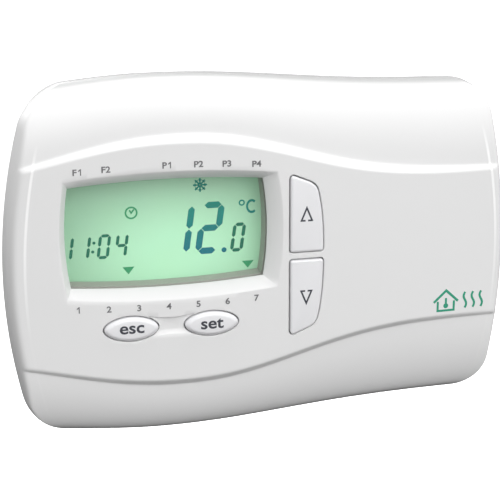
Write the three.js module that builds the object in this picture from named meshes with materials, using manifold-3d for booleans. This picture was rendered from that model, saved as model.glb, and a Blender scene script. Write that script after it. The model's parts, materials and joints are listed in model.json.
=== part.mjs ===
// Wall thermostat with a green display and four keys. Millimetres.
// +X is to the right seen from the front, +Z is up, and the front faces -Y.
// The wall is the plane y = 0, with the origin at the middle of the wall plate's back.

import * as THREE from 'three';
import { mergeVertices } from 'three/addons/utils/BufferGeometryUtils.js';
import Module from 'manifold-3d';

const wasm = await Module();
wasm.setup();

// ---------------------------------------------------------------- driving dimensions

// Outline of the front cover at its widest section
const bodyWidth = 138.4;
const bulgeHeight = 98;
const endHeight = 89.6;
const bulgeFromLeft = 43.2;
const bulgeReachLeft = 36;
const bulgeReachRight = 43.6;
const bulgePower = 2.1;
const leftSideRadius = 148;
const rightSideRadius = 170;
const sideCentreZ = -4.5;
const cornerRadius = 9.5;
const rearDraft = 0.144;
const coverWall = 2.2;
const coverGapToWall = 0.8;

// Rounded front of the cover and its raised middle panel with two wavy edges
const shoulderDepth = 10;
const rollWidth = 6.5;
const rollRise = 10.5;
const panelStep = 2.2;
const stepWidth = 1.9;
const waveHeight = 64.5;
const waveEndHeight = 39.2;
const waveFromLeft = 47.2;
const waveReachLeft = 46;
const waveReachRight = 40.5;
const wavePower = 2.2;
const panelSideDrop = 1.58;
const edgeBlend = 0.8;

// Depth stack from the wall to the panel
const plateThickness = 2.6;
const plateGap = 2;
const rearCoverThickness = 1.6;
const componentSpace = 4.6;
const boardThickness = 1.6;
const guideThickness = 2.3;
const glassThickness = 2.7;
const displayRecess = 10;
const gap = 0.3;

// Display window: the opening behind the chamfer, then the chamfer round it
const windowFromLeft = 17.1;
const windowWidth = 51.3;
const windowHeight = 26.7;
const windowCentreZ = 7.85;
const windowBow = 1.15;
const chamferDepth = 3;
const chamferLeft = 1.1;
const chamferRight = 3.2;
const chamferTop = 2;
const chamferBottom = 2.4;
const chamferBow = 0.45;
const windowLand = 0.4;
const lensThickness = 1;
const lensOverlap = 1.4;
const rimWidthShare = 1.25;
const rimFrontDrop = 1.4;
const frameWall = 1.3;
const frameSkirtWall = 1.1;
const glassMarginX = 3;
const glassMarginZ = 4.2;
const guideMarginX = 0.4;
const guideMarginZ = 1;
const ledWidth = 1.8;
const ledHeight = 3.2;
const ledThickness = 1.6;
const ledFromMiddle = 7;
const stripHeight = 1.6;
const stripFromGlassEdge = 1.4;

// Two tall keys beside the window, and two lens-shaped keys under it
const tallKeyFromWindow = 6.8;
const tallKeyWidth = 9;
const tallKeyHeight = 20.7;
const tallKeySpacing = 2.3;
const tallKeyProud = 0.5;
const lensKeyLength = 14.3;
const lensKeyHeight = 6.5;
const lensKeyFullness = 1.85;
const lensKeyDrop = 11.4;
const escFromWindow = 15.1;
const lensKeyPitch = 21.4;
const lensKeyProud = 0.9;
const keyClearance = 0.35;
const lensKeyFlange = 1;
const tallKeyFlange = 0.6;
const keyFlangeThickness = 0.9;
const keyEdgeRound = 0.5;
const keyTravel = 0.5;
const keyFlangeGap = 0.4;
const stemWidth = 3.2;

// Tact switches on the board
const switchSide = 4.5;
const switchHeight = 3.8;
const plungerRadius = 1.7;
const plungerHeight = 1.3;
const plungerInside = 0.9;
const plungerClearance = 0.25;

// Board, its screws and what stands on it
const boardFromLeft = 12.2;
const boardFromRight = 10.2;
const boardCornerCut = 2.5;
const boardBelowSwitch = 0.15;
const boardTop = 35.5;
const screwRadius = 1.2;
const screwHeadRadius = 2.3;
const screwHeadHeight = 1.4;
const screwLength = 8;
const crossWidth = 0.7;
const crossLength = 2.8;
const crossDepth = 0.8;
const bossRadius = 3;
const bossOverlap = 0.8;
const screwInset = 4.3;
const postDrop = 10.8;
const postFromSide = 15;
const lowLeftPostRise = 6;
const relayFromBoardRight = 17;
const relayZ = 15;
const relayLength = 20;
const relayWidth = 10;
const chipWidth = 10;
const chipHeight = 7.6;
const chipThickness = 2;
const chipLegs = 9;
const chipLegWidth = 0.5;
const chipLegLength = 1;
const partsFromTallKeys = 9;
const crystalLength = 10;
const crystalWidth = 4;
const crystalHeight = 3.4;
const crystalZ = -9;
const capacitorRadius = 3.1;
const capacitorHeight = 7.6;
const capacitorGroove = 0.3;
const sensorFromRight = 15;
const sensorFromBottom = 5;
const sensorRadius = 1.5;
const sensorStandoff = 5;
const sensorLegSpacing = 1.4;
const sensorLegRadius = 0.3;

// Two AAA cells in a trough of the rear cover
const cellRadius = 5.25;
const cellLength = 43.3;
const cellNippleRadius = 1.9;
const cellNippleLength = 1;
const cellSpacing = 0.2;
const troughWall = 0.8;
const troughClearance = 0.2;
const troughFromLeft = 22.9;
const cellSunk = 2.3;
const springLength = 3.2;
const springTurns = 3;
const springWire = 0.7;
const springWideRadius = 3.4;
const springNarrowRadius = 1.9;
const contactThickness = 0.4;
const contactReach = 4;

// Terminal block on the wall plate
const terminalCount = 5;
const terminalPitch = 5.08;
const terminalDepth = 11.5;
const terminalHeight = 12.2;
const terminalFromRight = 19.5;
const terminalZ = -30;
const terminalEndWall = 1.5;
const terminalFloor = 2;
const clampSide = 3.6;
const clampHeight = 6.6;
const clampWall = 0.7;
const wireWayHeight = 3.6;
const wireHoleWidth = 3;
const terminalScrewRadius = 1.5;
const terminalHeadHeight = 1.5;
const slotWidth = 0.6;
const slotDepth = 0.7;

// Wall plate
const plateClearance = 0.6;
const wallSlotSpacing = 60;
const wallSlotWidth = 4.4;
const wallSlotLength = 9;
const slotCollar = 1.5;
const slotCollarHeight = 0.7;
const cableOpeningWidth = 27;
const cableOpeningHeight = 7;
const tongueWidth = 8;
const tongueThickness = 1.4;
const tongueClearance = 0.4;
const tongueFromMiddle = 29;
const tongueDrop = 12;
const plateRimInset = 0.9;
const plateRimWidth = 1.4;
const rearRimWidth = 1.4;
const rearRimHeight = 2.4;
const rearEdgeClearance = 0.5;
const ventCount = 7;
const ventPitch = 7;
const ventWidth = 2.4;
const ventMiddleX = -26;
const ventBottom = 20;
const ventHeight = 7;
const plateVentBottom = 24;
const plateVentHeight = 8;

// Plug contacts between the two halves
const pinCount = 5;
const pinPitch = 5.08;
const pinSide = 0.8;
const plugHeight = 5;
const plugEndWall = 2;
const pinCarrierThickness = 2.4;
const pinWay = 1.8;
const plugFromTerminals = 15;
const cableBelowPlug = 0.9;
const serviceMargin = 0.9;

// ---------------------------------------------------------------- values worked out from them

const rearCoverBack = plateThickness + plateGap;
const rearCoverFront = rearCoverBack + rearCoverThickness;
const boardBack = rearCoverFront + componentSpace;
const boardFront = boardBack + boardThickness;
const guideBack = boardFront + gap;
const guideFront = guideBack + guideThickness;
const glassBack = guideFront + gap;
const glassFront = glassBack + glassThickness;
const panelDepth = glassFront + displayRecess;
const widestDepth = panelDepth - shoulderDepth;
const bandDepth = panelDepth - panelStep;
const halfWidth = bodyWidth / 2;
const innerFace = panelDepth - coverWall;
const panelBowRadius = halfWidth * halfWidth / (2 * panelSideDrop);

const windowLeft = -halfWidth + windowFromLeft;
const windowRight = windowLeft + windowWidth;
const windowBottom = windowCentreZ - windowHeight / 2;
const windowTop = windowCentreZ + windowHeight / 2;
const windowRimBack = panelDepth - chamferDepth - windowLand;
const lensFront = windowRimBack - gap;
const lensBack = lensFront - lensThickness;

const tallKeyLeft = windowRight + tallKeyFromWindow;
const lensKeyZ = windowBottom - lensKeyDrop;
const escX = windowLeft + escFromWindow;
const setX = escX + lensKeyPitch;

// ---------------------------------------------------------------- solids and booleans

/** A closed three.js geometry as a manifold solid. */
function solid(geometry) {
  const bare = geometry.index ? geometry.toNonIndexed() : geometry.clone();
  bare.deleteAttribute('normal');
  bare.deleteAttribute('uv');
  const merged = mergeVertices(bare, 1e-4);
  const mesh = new wasm.Mesh({
    numProp: 3,
    vertProperties: new Float32Array(merged.attributes.position.array),
    triVerts: new Uint32Array(merged.index.array),
  });
  return new wasm.Manifold(mesh);
}

/** A manifold solid as a three.js geometry. */
function geometryOf(body) {
  const mesh = body.getMesh();
  const geometry = new THREE.BufferGeometry();
  geometry.setAttribute('position', new THREE.BufferAttribute(mesh.vertProperties, 3));
  geometry.setIndex(new THREE.BufferAttribute(mesh.triVerts, 1));
  geometry.computeVertexNormals();
  return geometry;
}

function union(...bodies) {
  return bodies.reduce((sum, body) => sum.add(body));
}

function cut(body, ...tools) {
  return tools.reduce((rest, tool) => rest.subtract(tool), body);
}

/** Box between two x values, two depths from the wall and two z values. */
function block(x0, x1, nearWall, farFromWall, z0, z1) {
  const box = new THREE.BoxGeometry(x1 - x0, farFromWall - nearWall, z1 - z0);
  box.translate((x0 + x1) / 2, -(nearWall + farFromWall) / 2, (z0 + z1) / 2);
  return solid(box);
}

/** Outline of [x, z] points pushed from one depth to another. */
function prism(outline, nearWall, farFromWall) {
  const shape = new THREE.Shape(outline.map(([x, z]) => new THREE.Vector2(x, z)));
  const extrusion = new THREE.ExtrudeGeometry(shape, {
    depth: farFromWall - nearWall,
    bevelEnabled: false,
    steps: 1,
  });
  extrusion.rotateX(Math.PI / 2);
  extrusion.translate(0, -nearWall, 0);
  return solid(extrusion);
}

/** Round rod along Y. */
function rodY(x, z, radius, nearWall, farFromWall, sides = 16) {
  const rod = new THREE.CylinderGeometry(radius, radius, farFromWall - nearWall, sides);
  rod.translate(x, -(nearWall + farFromWall) / 2, z);
  return solid(rod);
}

/** Round rod along X. */
function rodX(x0, x1, depth, z, radius, sides = 20) {
  const rod = new THREE.CylinderGeometry(radius, radius, x1 - x0, sides);
  rod.rotateZ(Math.PI / 2);
  rod.translate((x0 + x1) / 2, -depth, z);
  return solid(rod);
}

/** Closed skin through rings of equal length, capped at both ends by a fan. */
function loft(rings) {
  const count = rings[0].length;
  const positions = [];
  const faces = [];
  for (const ring of rings) {
    for (const point of ring) positions.push(...point);
  }
  for (let r = 0; r + 1 < rings.length; r++) {
    for (let i = 0; i < count; i++) {
      const a = r * count + i;
      const b = r * count + ((i + 1) % count);
      faces.push(a, b, b + count, a, b + count, a + count);
    }
  }
  for (const [start, flip] of [[0, true], [(rings.length - 1) * count, false]]) {
    const centre = [0, 0, 0];
    for (let i = 0; i < count; i++) {
      for (let k = 0; k < 3; k++) centre[k] += positions[(start + i) * 3 + k] / count;
    }
    const hub = positions.length / 3;
    positions.push(...centre);
    for (let i = 0; i < count; i++) {
      const a = start + i;
      const b = start + ((i + 1) % count);
      if (flip) faces.push(hub, b, a);
      else faces.push(hub, a, b);
    }
  }
  const geometry = new THREE.BufferGeometry();
  geometry.setAttribute('position', new THREE.Float32BufferAttribute(positions, 3));
  geometry.setIndex(faces);
  return solid(geometry);
}

/** Outline moved outwards by a distance, along the corner bisectors. */
function grown(outline, distance) {
  const count = outline.length;
  return outline.map(([x, z], i) => {
    const [px, pz] = outline[(i + count - 1) % count];
    const [nx, nz] = outline[(i + 1) % count];
    const before = new THREE.Vector2(z - pz, px - x).normalize();
    const after = new THREE.Vector2(nz - z, x - nx).normalize();
    const middle = before.clone().add(after).normalize();
    const reach = distance / Math.max(middle.dot(after), 0.35);
    return [x + middle.x * reach, z + middle.y * reach];
  });
}

// ---------------------------------------------------------------- outline of the cover

function bell(x, peak, reachLeft, reachRight, power) {
  const reach = x < peak ? reachLeft : reachRight;
  return Math.exp(-Math.pow(Math.abs(x - peak) / reach, power));
}

/** Half height of the cover's widest section at x. */
function halfHeight(x) {
  const rise = (bulgeHeight - endHeight) / 2;
  const peak = -halfWidth + bulgeFromLeft;
  return endHeight / 2 + rise * bell(x, peak, bulgeReachLeft, bulgeReachRight, bulgePower);
}

/** Half height of the raised panel at x. */
function waveHalf(x) {
  const rise = (waveHeight - waveEndHeight) / 2;
  const peak = -halfWidth + waveFromLeft;
  return waveEndHeight / 2 + rise * bell(x, peak, waveReachLeft, waveReachRight, wavePower);
}

function leftEdge(z) {
  return -halfWidth + (z - sideCentreZ) ** 2 / (2 * leftSideRadius);
}

function rightEdge(z) {
  return halfWidth - (z - sideCentreZ) ** 2 / (2 * rightSideRadius);
}

/** Point a set distance in from a side edge and from the top or bottom edge. */
function cornerPoint(right, up, fromSide, fromEdge) {
  let x = 0;
  let z = 0;
  for (let pass = 0; pass < 16; pass++) {
    x = right ? rightEdge(z) - fromSide : leftEdge(z) + fromSide;
    z = (up ? 1 : -1) * (halfHeight(x) - fromEdge);
  }
  return [x, z];
}

const cornerSteps = 4;
const topSteps = 12;
const sideSteps = 5;

/** The cover's outline moved inwards, as [x, z] points running anticlockwise. */
function outlineInside(inset) {
  const radius = Math.max(cornerRadius - inset, 0.6);
  const corner = (right, up, rising) => {
    const points = [];
    for (let i = 0; i <= cornerSteps; i++) {
      const share = rising ? i / cornerSteps : 1 - i / cornerSteps;
      const angle = share * Math.PI / 2;
      const fromSide = inset + radius * (1 - Math.cos(angle));
      const fromEdge = inset + radius * (1 - Math.sin(angle));
      points.push(cornerPoint(right, up, fromSide, fromEdge));
    }
    return points;
  };
  const along = (from, to, steps, place) => {
    const points = [];
    for (let i = 1; i < steps; i++) points.push(place(from + (to - from) * i / steps));
    return points;
  };
  const topRight = corner(true, true, true);
  const topLeft = corner(false, true, false);
  const bottomLeft = corner(false, false, true);
  const bottomRight = corner(true, false, false);
  const last = (points) => points[points.length - 1];
  return [
    ...topRight,
    ...along(last(topRight)[0], topLeft[0][0], topSteps, (x) => [x, halfHeight(x) - inset]),
    ...topLeft,
    ...along(last(topLeft)[1], bottomLeft[0][1], sideSteps, (z) => [leftEdge(z) + inset, z]),
    ...bottomLeft,
    ...along(last(bottomLeft)[0], bottomRight[0][0], topSteps, (x) => [x, inset - halfHeight(x)]),
    ...bottomRight,
    ...along(last(bottomRight)[1], topRight[0][1], sideSteps, (z) => [rightEdge(z) - inset, z]),
  ];
}

/** Distance in from the rounded outline, positive inside. */
function edgeDistance(x, z) {
  const side = Math.min(x - leftEdge(z), rightEdge(z) - x);
  const edge = halfHeight(x) - Math.abs(z);
  if (side < cornerRadius && edge < cornerRadius) {
    return cornerRadius - Math.hypot(cornerRadius - side, cornerRadius - edge);
  }
  return Math.min(side, edge);
}

function smoothMin(a, b) {
  const overlap = Math.max(edgeBlend - Math.abs(a - b), 0) / edgeBlend;
  return Math.min(a, b) - overlap * overlap * edgeBlend / 4;
}

/** Rise of a quarter ellipse: 0 at the edge, 1 a full width in. */
function quarterRound(share) {
  const rest = 1 - Math.min(Math.max(share, 0), 1);
  return Math.sqrt(1 - rest * rest);
}

/** Depth of the front skin from the wall, for the skin itself or a surface inside it. */
function frontDepth(x, z, inset, raised) {
  const bandStart = waveHalf(x) + stepWidth - inset;
  const bandEnd = halfHeight(x) - inset;
  const share = (bandEnd - Math.abs(z)) / (bandEnd - bandStart);
  const band = widestDepth + (bandDepth - widestDepth - inset) * quarterRound(share);
  const panel = panelDepth - x * x / (2 * panelBowRadius) - inset;
  const side = (edgeDistance(x, z) - inset) / (rollWidth - inset);
  const roll = widestDepth + (rollRise - inset) * quarterRound(side);
  return smoothMin(raised ? panel : band, roll);
}

/** Solid inside the cover's skin: the whole cover, or the hollow when inset is the wall. */
function coverBlank(inset, nearWall, raised) {
  const level = (points, depth) => points.map(([x, z]) => [x, -depth, z]);
  const skin = (points) => points.map(([x, z]) => [x, -frontDepth(x, z, inset, raised), z]);
  const rings = [
    level(outlineInside(inset + (widestDepth - nearWall) * rearDraft), nearWall),
    level(outlineInside(inset), widestDepth),
  ];
  for (const step of [0.3, 1.1, 2.6, 4.6, 7.4]) {
    rings.push(skin(outlineInside(inset + step)));
  }
  const inner = outlineInside(inset + 7.4);
  for (const scale of raised ? [0.6] : [0.84, 0.68]) {
    rings.push(skin(inner.map(([x, z]) => [x * scale, z * scale])));
  }
  return loft(rings);
}

/** Prism with the wavy edges of the raised panel, widening towards the wall. */
function waveBlank(inset) {
  const slope = stepWidth / panelStep;
  const reach = halfWidth + 4;
  const steps = 34;
  const ring = (depth) => {
    const spread = (panelDepth - inset - depth) * slope - inset;
    const top = [];
    for (let i = 0; i <= steps; i++) {
      const x = reach - 2 * reach * i / steps;
      top.push([x, -depth, waveHalf(x) + spread]);
    }
    const bottom = top.map(([x, y, z]) => [x, y, -z]).reverse();
    return [...top, ...bottom];
  };
  return loft([ring(widestDepth - 3), ring(panelDepth + 1)]);
}

/** The cover's full shape: rounded bands above and below the raised wavy panel. */
function coverShape(inset, nearWall) {
  const bands = coverBlank(inset, nearWall, false);
  const panel = coverBlank(inset, nearWall, true).intersect(waveBlank(inset));
  return union(bands, panel);
}

// ---------------------------------------------------------------- outlines of window and keys

/** Rectangle whose four sides bow outwards. */
function bowedRectangle(x0, x1, z0, z1, bow, steps = 8) {
  const points = [];
  const arch = (i) => bow * (1 - (2 * i / steps - 1) ** 2);
  for (let i = 0; i < steps; i++) points.push([x0 + (x1 - x0) * i / steps, z0 - arch(i)]);
  for (let i = 0; i < steps; i++) points.push([x1 + arch(i), z0 + (z1 - z0) * i / steps]);
  for (let i = 0; i < steps; i++) points.push([x1 - (x1 - x0) * i / steps, z1 + arch(i)]);
  for (let i = 0; i < steps; i++) points.push([x0 - arch(i), z1 - (z1 - z0) * i / steps]);
  return points;
}

const windowOutline = bowedRectangle(windowLeft, windowRight, windowBottom, windowTop, windowBow);

/** The window outline at a share of the chamfer: 0 at its bottom, 1 at the panel's face. */
function chamferOutline(share) {
  return bowedRectangle(
    windowLeft - chamferLeft * share,
    windowRight + chamferRight * share,
    windowBottom - chamferBottom * share,
    windowTop + chamferTop * share,
    windowBow + chamferBow * share,
  );
}

/** The upper tall key: straight on the left, arched on the right, slanted on top. */
function tallKeyOutline() {
  const shape = new THREE.Shape();
  const low = tallKeySpacing / 2;
  const width = tallKeyWidth;
  const height = tallKeyHeight;
  shape.moveTo(0.7, 0);
  shape.lineTo(width - 0.7, 0);
  shape.quadraticCurveTo(width, 0, width, 0.9);
  shape.quadraticCurveTo(width, height * 0.5, width - 1.6, height - 4);
  shape.quadraticCurveTo(width - 2.2, height - 2.4, width - 4.2, height - 1.6);
  shape.lineTo(0.9, height);
  shape.quadraticCurveTo(0, height, 0, height - 1.1);
  shape.lineTo(0, 0.7);
  shape.quadraticCurveTo(0, 0, 0.7, 0);
  const points = shape.getPoints(4).map((p) => [tallKeyLeft + p.x, low + p.y]);
  return dropRepeats(points);
}

/** An oval that is slightly more pointed than an ellipse. */
function lensKeyOutline(centreX) {
  const points = [];
  const steps = 36;
  const bend = (v) => Math.sign(v) * Math.abs(v) ** (2 / lensKeyFullness);
  for (let i = 0; i < steps; i++) {
    const angle = 2 * Math.PI * (i + 0.5) / steps;
    const x = bend(Math.cos(angle)) * lensKeyLength / 2;
    const z = bend(Math.sin(angle)) * lensKeyHeight / 2;
    points.push([centreX + x, lensKeyZ + z]);
  }
  return points;
}

function dropRepeats(points) {
  return points.filter(([x, z], i) => {
    const [px, pz] = points[(i + points.length - 1) % points.length];
    return Math.hypot(x - px, z - pz) > 0.02;
  });
}

function mirrored(outline) {
  return outline.map(([x, z]) => [x, -z]).reverse();
}

const tallKeyX = tallKeyLeft + tallKeyWidth / 2;
const lensKeyFace = { proud: lensKeyProud, flange: lensKeyFlange };
const tallKeyFace = { proud: tallKeyProud, flange: tallKeyFlange };
const keys = [
  { name: 'esc', outline: lensKeyOutline(escX), x: escX, z: lensKeyZ, ...lensKeyFace },
  { name: 'set', outline: lensKeyOutline(setX), x: setX, z: lensKeyZ, ...lensKeyFace },
  { name: 'up', outline: tallKeyOutline(), x: tallKeyX, z: tallKeyHeight / 2, ...tallKeyFace },
  { name: 'down', outline: mirrored(tallKeyOutline()), x: tallKeyX, z: -tallKeyHeight / 2, ...tallKeyFace },
];

// ---------------------------------------------------------------- fixing points

const boardLeft = -halfWidth + boardFromLeft;
const boardRight = halfWidth - boardFromRight;
const boardBottom = lensKeyZ - switchSide / 2 - boardBelowSwitch;
const boardScrews = [
  [boardLeft + screwInset, boardTop - screwInset],
  [boardRight - 3 * screwInset, boardTop - screwInset],
  [boardLeft + screwInset, boardBottom + screwInset],
  [boardRight - screwInset, boardBottom + screwInset],
];

const rearScrews = [
  [-halfWidth + 2 * postFromSide, halfHeight(-halfWidth + 2 * postFromSide) - postDrop],
  [halfWidth - postFromSide, halfHeight(halfWidth - postFromSide) - postDrop],
  [-halfWidth + postFromSide, postDrop + lowLeftPostRise - halfHeight(-halfWidth + postFromSide)],
  [halfWidth - postFromSide, postDrop - halfHeight(halfWidth - postFromSide)],
];

const cellDepth = rearCoverBack + cellRadius + cellSunk;
const cellHighZ = boardBottom - gap - troughWall - troughClearance - cellRadius;
const cellLowZ = cellHighZ - 2 * cellRadius - cellSpacing;
const troughLeft = -halfWidth + troughFromLeft;
const springStart = troughLeft + contactThickness + 2 * gap;
const cellSpan = cellLength + cellNippleLength;
const troughInside = cellSpan + springLength + 2 * contactThickness + 5 * gap;
const troughRight = troughLeft + troughInside;
const troughTop = cellHighZ + cellRadius + troughClearance;
const troughBottom = cellLowZ - cellRadius - troughClearance;
const troughFront = cellDepth + cellRadius + troughClearance;

const terminalLength = terminalCount * terminalPitch + 2 * terminalEndWall;
const terminalRight = halfWidth - terminalFromRight;
const terminalLeft = terminalRight - terminalLength;
const terminalTop = terminalZ + terminalDepth / 2;
const terminalBottom = terminalZ - terminalDepth / 2;
const terminalBase = plateThickness + gap;
const terminalFront = terminalBase + terminalHeight;
const clampBack = terminalBase + terminalFloor + gap;
const clampFront = clampBack + clampHeight;
const plugX = (terminalLeft + terminalRight) / 2;
const plugZ = terminalTop + plugFromTerminals - plugHeight / 2;
const plugLength = (pinCount - 1) * pinPitch + 2 * plugEndWall;
const plugFront = boardBack - gap - pinCarrierThickness;
const cableTop = plugZ - plugHeight / 2 - cableBelowPlug;
const cableBottom = cableTop - cableOpeningHeight;
const partBack = boardFront + gap;
const relayX = boardRight - relayFromBoardRight;
const partsX = tallKeyLeft + tallKeyWidth + partsFromTallKeys;
const rearOutlineInset = coverWall + (widestDepth - rearCoverBack) * rearDraft + rearEdgeClearance;

// ---------------------------------------------------------------- wall plate and terminals

function slotOutline(centreX, centreZ, length, width, alongX) {
  const radius = width / 2;
  const run = length / 2 - radius;
  const points = [];
  for (let i = 0; i < 16; i++) {
    const angle = (i + 0.5) / 16 * 2 * Math.PI;
    const u = Math.cos(angle) * radius + Math.sign(Math.cos(angle)) * run;
    const v = Math.sin(angle) * radius;
    points.push(alongX ? [centreX + u, centreZ + v] : [centreX - v, centreZ + u]);
  }
  return points;
}

/** Block round each tongue of the wall plate, grown by a clearance. */
function tongueBlocks(clearance, nearWall, farFromWall) {
  return [-tongueFromMiddle, tongueFromMiddle].map((x) => {
    const z = halfHeight(x) - tongueDrop;
    const half = tongueWidth / 2 + clearance;
    const thick = tongueThickness / 2 + clearance;
    return block(x - half, x + half, nearWall, farFromWall, z - thick, z + thick);
  });
}

/** A row of upright vent slots through whatever lies between two depths. */
function ventBlocks(bottom, height, nearWall, farFromWall) {
  const vents = [];
  for (let i = 0; i < ventCount; i++) {
    const x = ventMiddleX + (i - (ventCount - 1) / 2) * ventPitch;
    vents.push(block(x - ventWidth / 2, x + ventWidth / 2, nearWall, farFromWall, bottom, bottom + height));
  }
  return vents;
}

/** Outline of the wall plate: the cover's rear opening less a clearance. */
function plateOutline(extra) {
  const rearInset = coverWall + (widestDepth - coverGapToWall) * rearDraft;
  return outlineInside(rearInset + plateClearance + extra);
}

function wallPlate() {
  const sheet = prism(plateOutline(0), 0, plateThickness);
  const rim = cut(
    prism(plateOutline(plateRimInset), plateThickness - 0.6, rearCoverBack - 0.4),
    prism(plateOutline(plateRimInset + plateRimWidth), plateThickness - 1, rearCoverBack),
  );
  const tongues = tongueBlocks(0, plateThickness - 0.6, rearCoverFront + 2);
  const wallSlot = (side, extra, nearWall, farFromWall) => {
    const x = side * wallSlotSpacing / 2;
    const outline = slotOutline(x, 0, wallSlotLength + extra, wallSlotWidth + extra, side < 0);
    return prism(outline, nearWall, farFromWall);
  };
  const collarFront = plateThickness + slotCollarHeight;
  const collars = [-1, 1].map((side) => wallSlot(side, 2 * slotCollar, 1, collarFront));
  const past = collarFront + 1;
  const cableHalf = cableOpeningWidth / 2;
  const openings = [
    wallSlot(-1, 0, -1, past),
    wallSlot(1, 0, -1, past),
    block(plugX - cableHalf, plugX + cableHalf, -1, past, cableBottom, cableTop),
    ...ventBlocks(plateVentBottom, plateVentHeight, -1, past),
  ];
  return cut(union(sheet, rim, ...tongues, ...collars), ...openings);
}

function terminalX(i) {
  return plugX + (i - (terminalCount - 1) / 2) * terminalPitch;
}

/** Housing with one well per terminal, open at the front for the screw and above for the wire. */
function terminalBlock() {
  const body = block(terminalLeft, terminalRight, terminalBase, terminalFront,
    terminalBottom, terminalTop);
  const half = clampSide / 2 + gap;
  const hole = wireHoleWidth / 2;
  const wells = [];
  for (let i = 0; i < terminalCount; i++) {
    const x = terminalX(i);
    wells.push(block(x - half, x + half, terminalBase + terminalFloor, terminalFront + 1,
      terminalZ - half, terminalZ + half));
    wells.push(block(x - hole, x + hole, clampBack + 0.1, clampBack + 0.1 + wireWayHeight,
      terminalZ, terminalTop + 1));
  }
  return cut(body, ...wells);
}

function terminalClamp(i) {
  const x = terminalX(i);
  const half = clampSide / 2;
  const body = block(x - half, x + half, clampBack, clampFront, terminalZ - half, terminalZ + half);
  const wireWay = block(x - half + clampWall, x + half - clampWall,
    clampBack + clampWall, clampBack + clampWall + wireWayHeight, terminalZ - 5, terminalZ + 5);
  const thread = rodY(x, terminalZ, terminalScrewRadius * 0.8 + gap,
    clampBack + wireWayHeight, clampFront + 1, 8);
  return cut(body, wireWay, thread);
}

function terminalScrew(i) {
  const x = terminalX(i);
  const tip = clampBack + clampWall + wireWayHeight + gap;
  const headBack = clampFront + gap;
  const headFront = headBack + terminalHeadHeight;
  const shank = rodY(x, terminalZ, terminalScrewRadius * 0.8, tip, headBack + 0.4, 8);
  const head = rodY(x, terminalZ, terminalScrewRadius, headBack, headFront, 12);
  const slot = block(x - slotWidth / 2, x + slotWidth / 2, headFront - slotDepth, headFront + 1,
    terminalZ - 3, terminalZ + 3);
  return cut(union(shank, head), slot);
}

function pinX(i) {
  return plugX + (i - (pinCount - 1) / 2) * pinPitch;
}

/** Receptacles for the board's pins. */
function baseSocket() {
  const half = plugLength / 2;
  const body = block(plugX - half, plugX + half, terminalBase, plugFront - gap,
    plugZ - plugHeight / 2, plugZ + plugHeight / 2);
  const ways = [];
  for (let i = 0; i < pinCount; i++) {
    const x = pinX(i);
    const side = pinWay / 2;
    ways.push(block(x - side, x + side, terminalBase + 1, plugFront + 1, plugZ - side, plugZ + side));
  }
  return cut(body, ...ways);
}

// ---------------------------------------------------------------- cover, window and keys

/** Round post from a depth to the inside of the cover's skin. */
function coverPost([x, z], nearWall) {
  const raised = Math.abs(z) < waveHalf(x) - coverWall;
  const face = frontDepth(x, z, coverWall, raised);
  return rodY(x, z, bossRadius, nearWall, face + bossOverlap, 12);
}

function frontCover() {
  const outer = coverShape(0, coverGapToWall);
  const hollow = coverShape(coverWall, coverGapToWall - 1);
  const windowRim = prism(chamferOutline(rimWidthShare), windowRimBack, panelDepth - rimFrontDrop);
  const posts = [
    ...boardScrews.map((spot) => coverPost(spot, boardFront + gap)),
    ...rearScrews.map((spot) => coverPost(spot, rearCoverFront + gap)),
  ];
  const pilot = ([x, z], end) => rodY(x, z, screwRadius + gap, rearCoverFront, end + screwLength, 8);
  const pilots = [
    ...boardScrews.map((spot) => pilot(spot, boardBack)),
    ...rearScrews.map((spot) => pilot(spot, rearCoverFront)),
  ];
  const level = (points, depth) => points.map(([x, z]) => [x, -depth, z]);
  const overshoot = 1.2;
  const chamfer = loft([
    level(chamferOutline(0), panelDepth - chamferDepth),
    level(chamferOutline(1 + overshoot / chamferDepth), panelDepth + overshoot),
  ]);
  const window = prism(windowOutline, windowRimBack - 4, panelDepth);
  const keyHoles = keys.map(({ outline }) => {
    return prism(grown(outline, keyClearance), innerFace - 2, panelDepth + 1);
  });
  return cut(union(cut(outer, hollow), windowRim, ...posts), chamfer, window, ...keyHoles, ...pilots);
}

function displayWindow() {
  return prism(grown(windowOutline, lensOverlap), lensBack, lensFront);
}

/** Box that reaches a margin past the window opening on each side. */
function windowBlock(marginX, marginZ, nearWall, farFromWall) {
  return block(windowLeft - marginX, windowRight + marginX, nearWall, farFromWall,
    windowBottom - marginZ, windowTop + marginZ);
}

function lcdFrame() {
  const tube = prism(grown(windowOutline, frameWall), glassFront + gap, lensBack - gap);
  const seatX = glassMarginX + gap;
  const seatZ = glassMarginZ + gap;
  const skirt = windowBlock(seatX + frameSkirtWall, seatZ + frameSkirtWall,
    boardFront + gap, glassFront + gap + frameSkirtWall);
  const seat = windowBlock(seatX, seatZ, boardFront - 1, glassFront + gap);
  return cut(union(tube, skirt), seat, prism(windowOutline, boardFront, panelDepth));
}

function lcdGlass() {
  return windowBlock(glassMarginX, glassMarginZ, glassBack, glassFront);
}

function backlightGuide() {
  return windowBlock(guideMarginX, guideMarginZ, guideBack, guideFront);
}

function keyCap({ outline, flange, x, z, proud }) {
  const bow = x * x / (2 * panelBowRadius);
  const face = panelDepth - bow + proud;
  const flangeFront = innerFace - bow - keyFlangeGap;
  const flangeBack = flangeFront - keyFlangeThickness;
  const level = (points, depth) => points.map(([px, pz]) => [px, -depth, pz]);
  const cap = loft([
    level(outline, flangeBack + 0.1),
    level(outline, face - keyEdgeRound),
    level(grown(outline, 0.1 - keyEdgeRound), face),
  ]);
  const skirt = prism(grown(outline, keyClearance + flange), flangeBack, flangeFront);
  const half = stemWidth / 2;
  const stemBack = partBack + switchHeight + plungerHeight + gap;
  const stem = block(x - half, x + half, stemBack, flangeBack + 0.2, z - half, z + half);
  return union(cap, skirt, stem);
}

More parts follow.
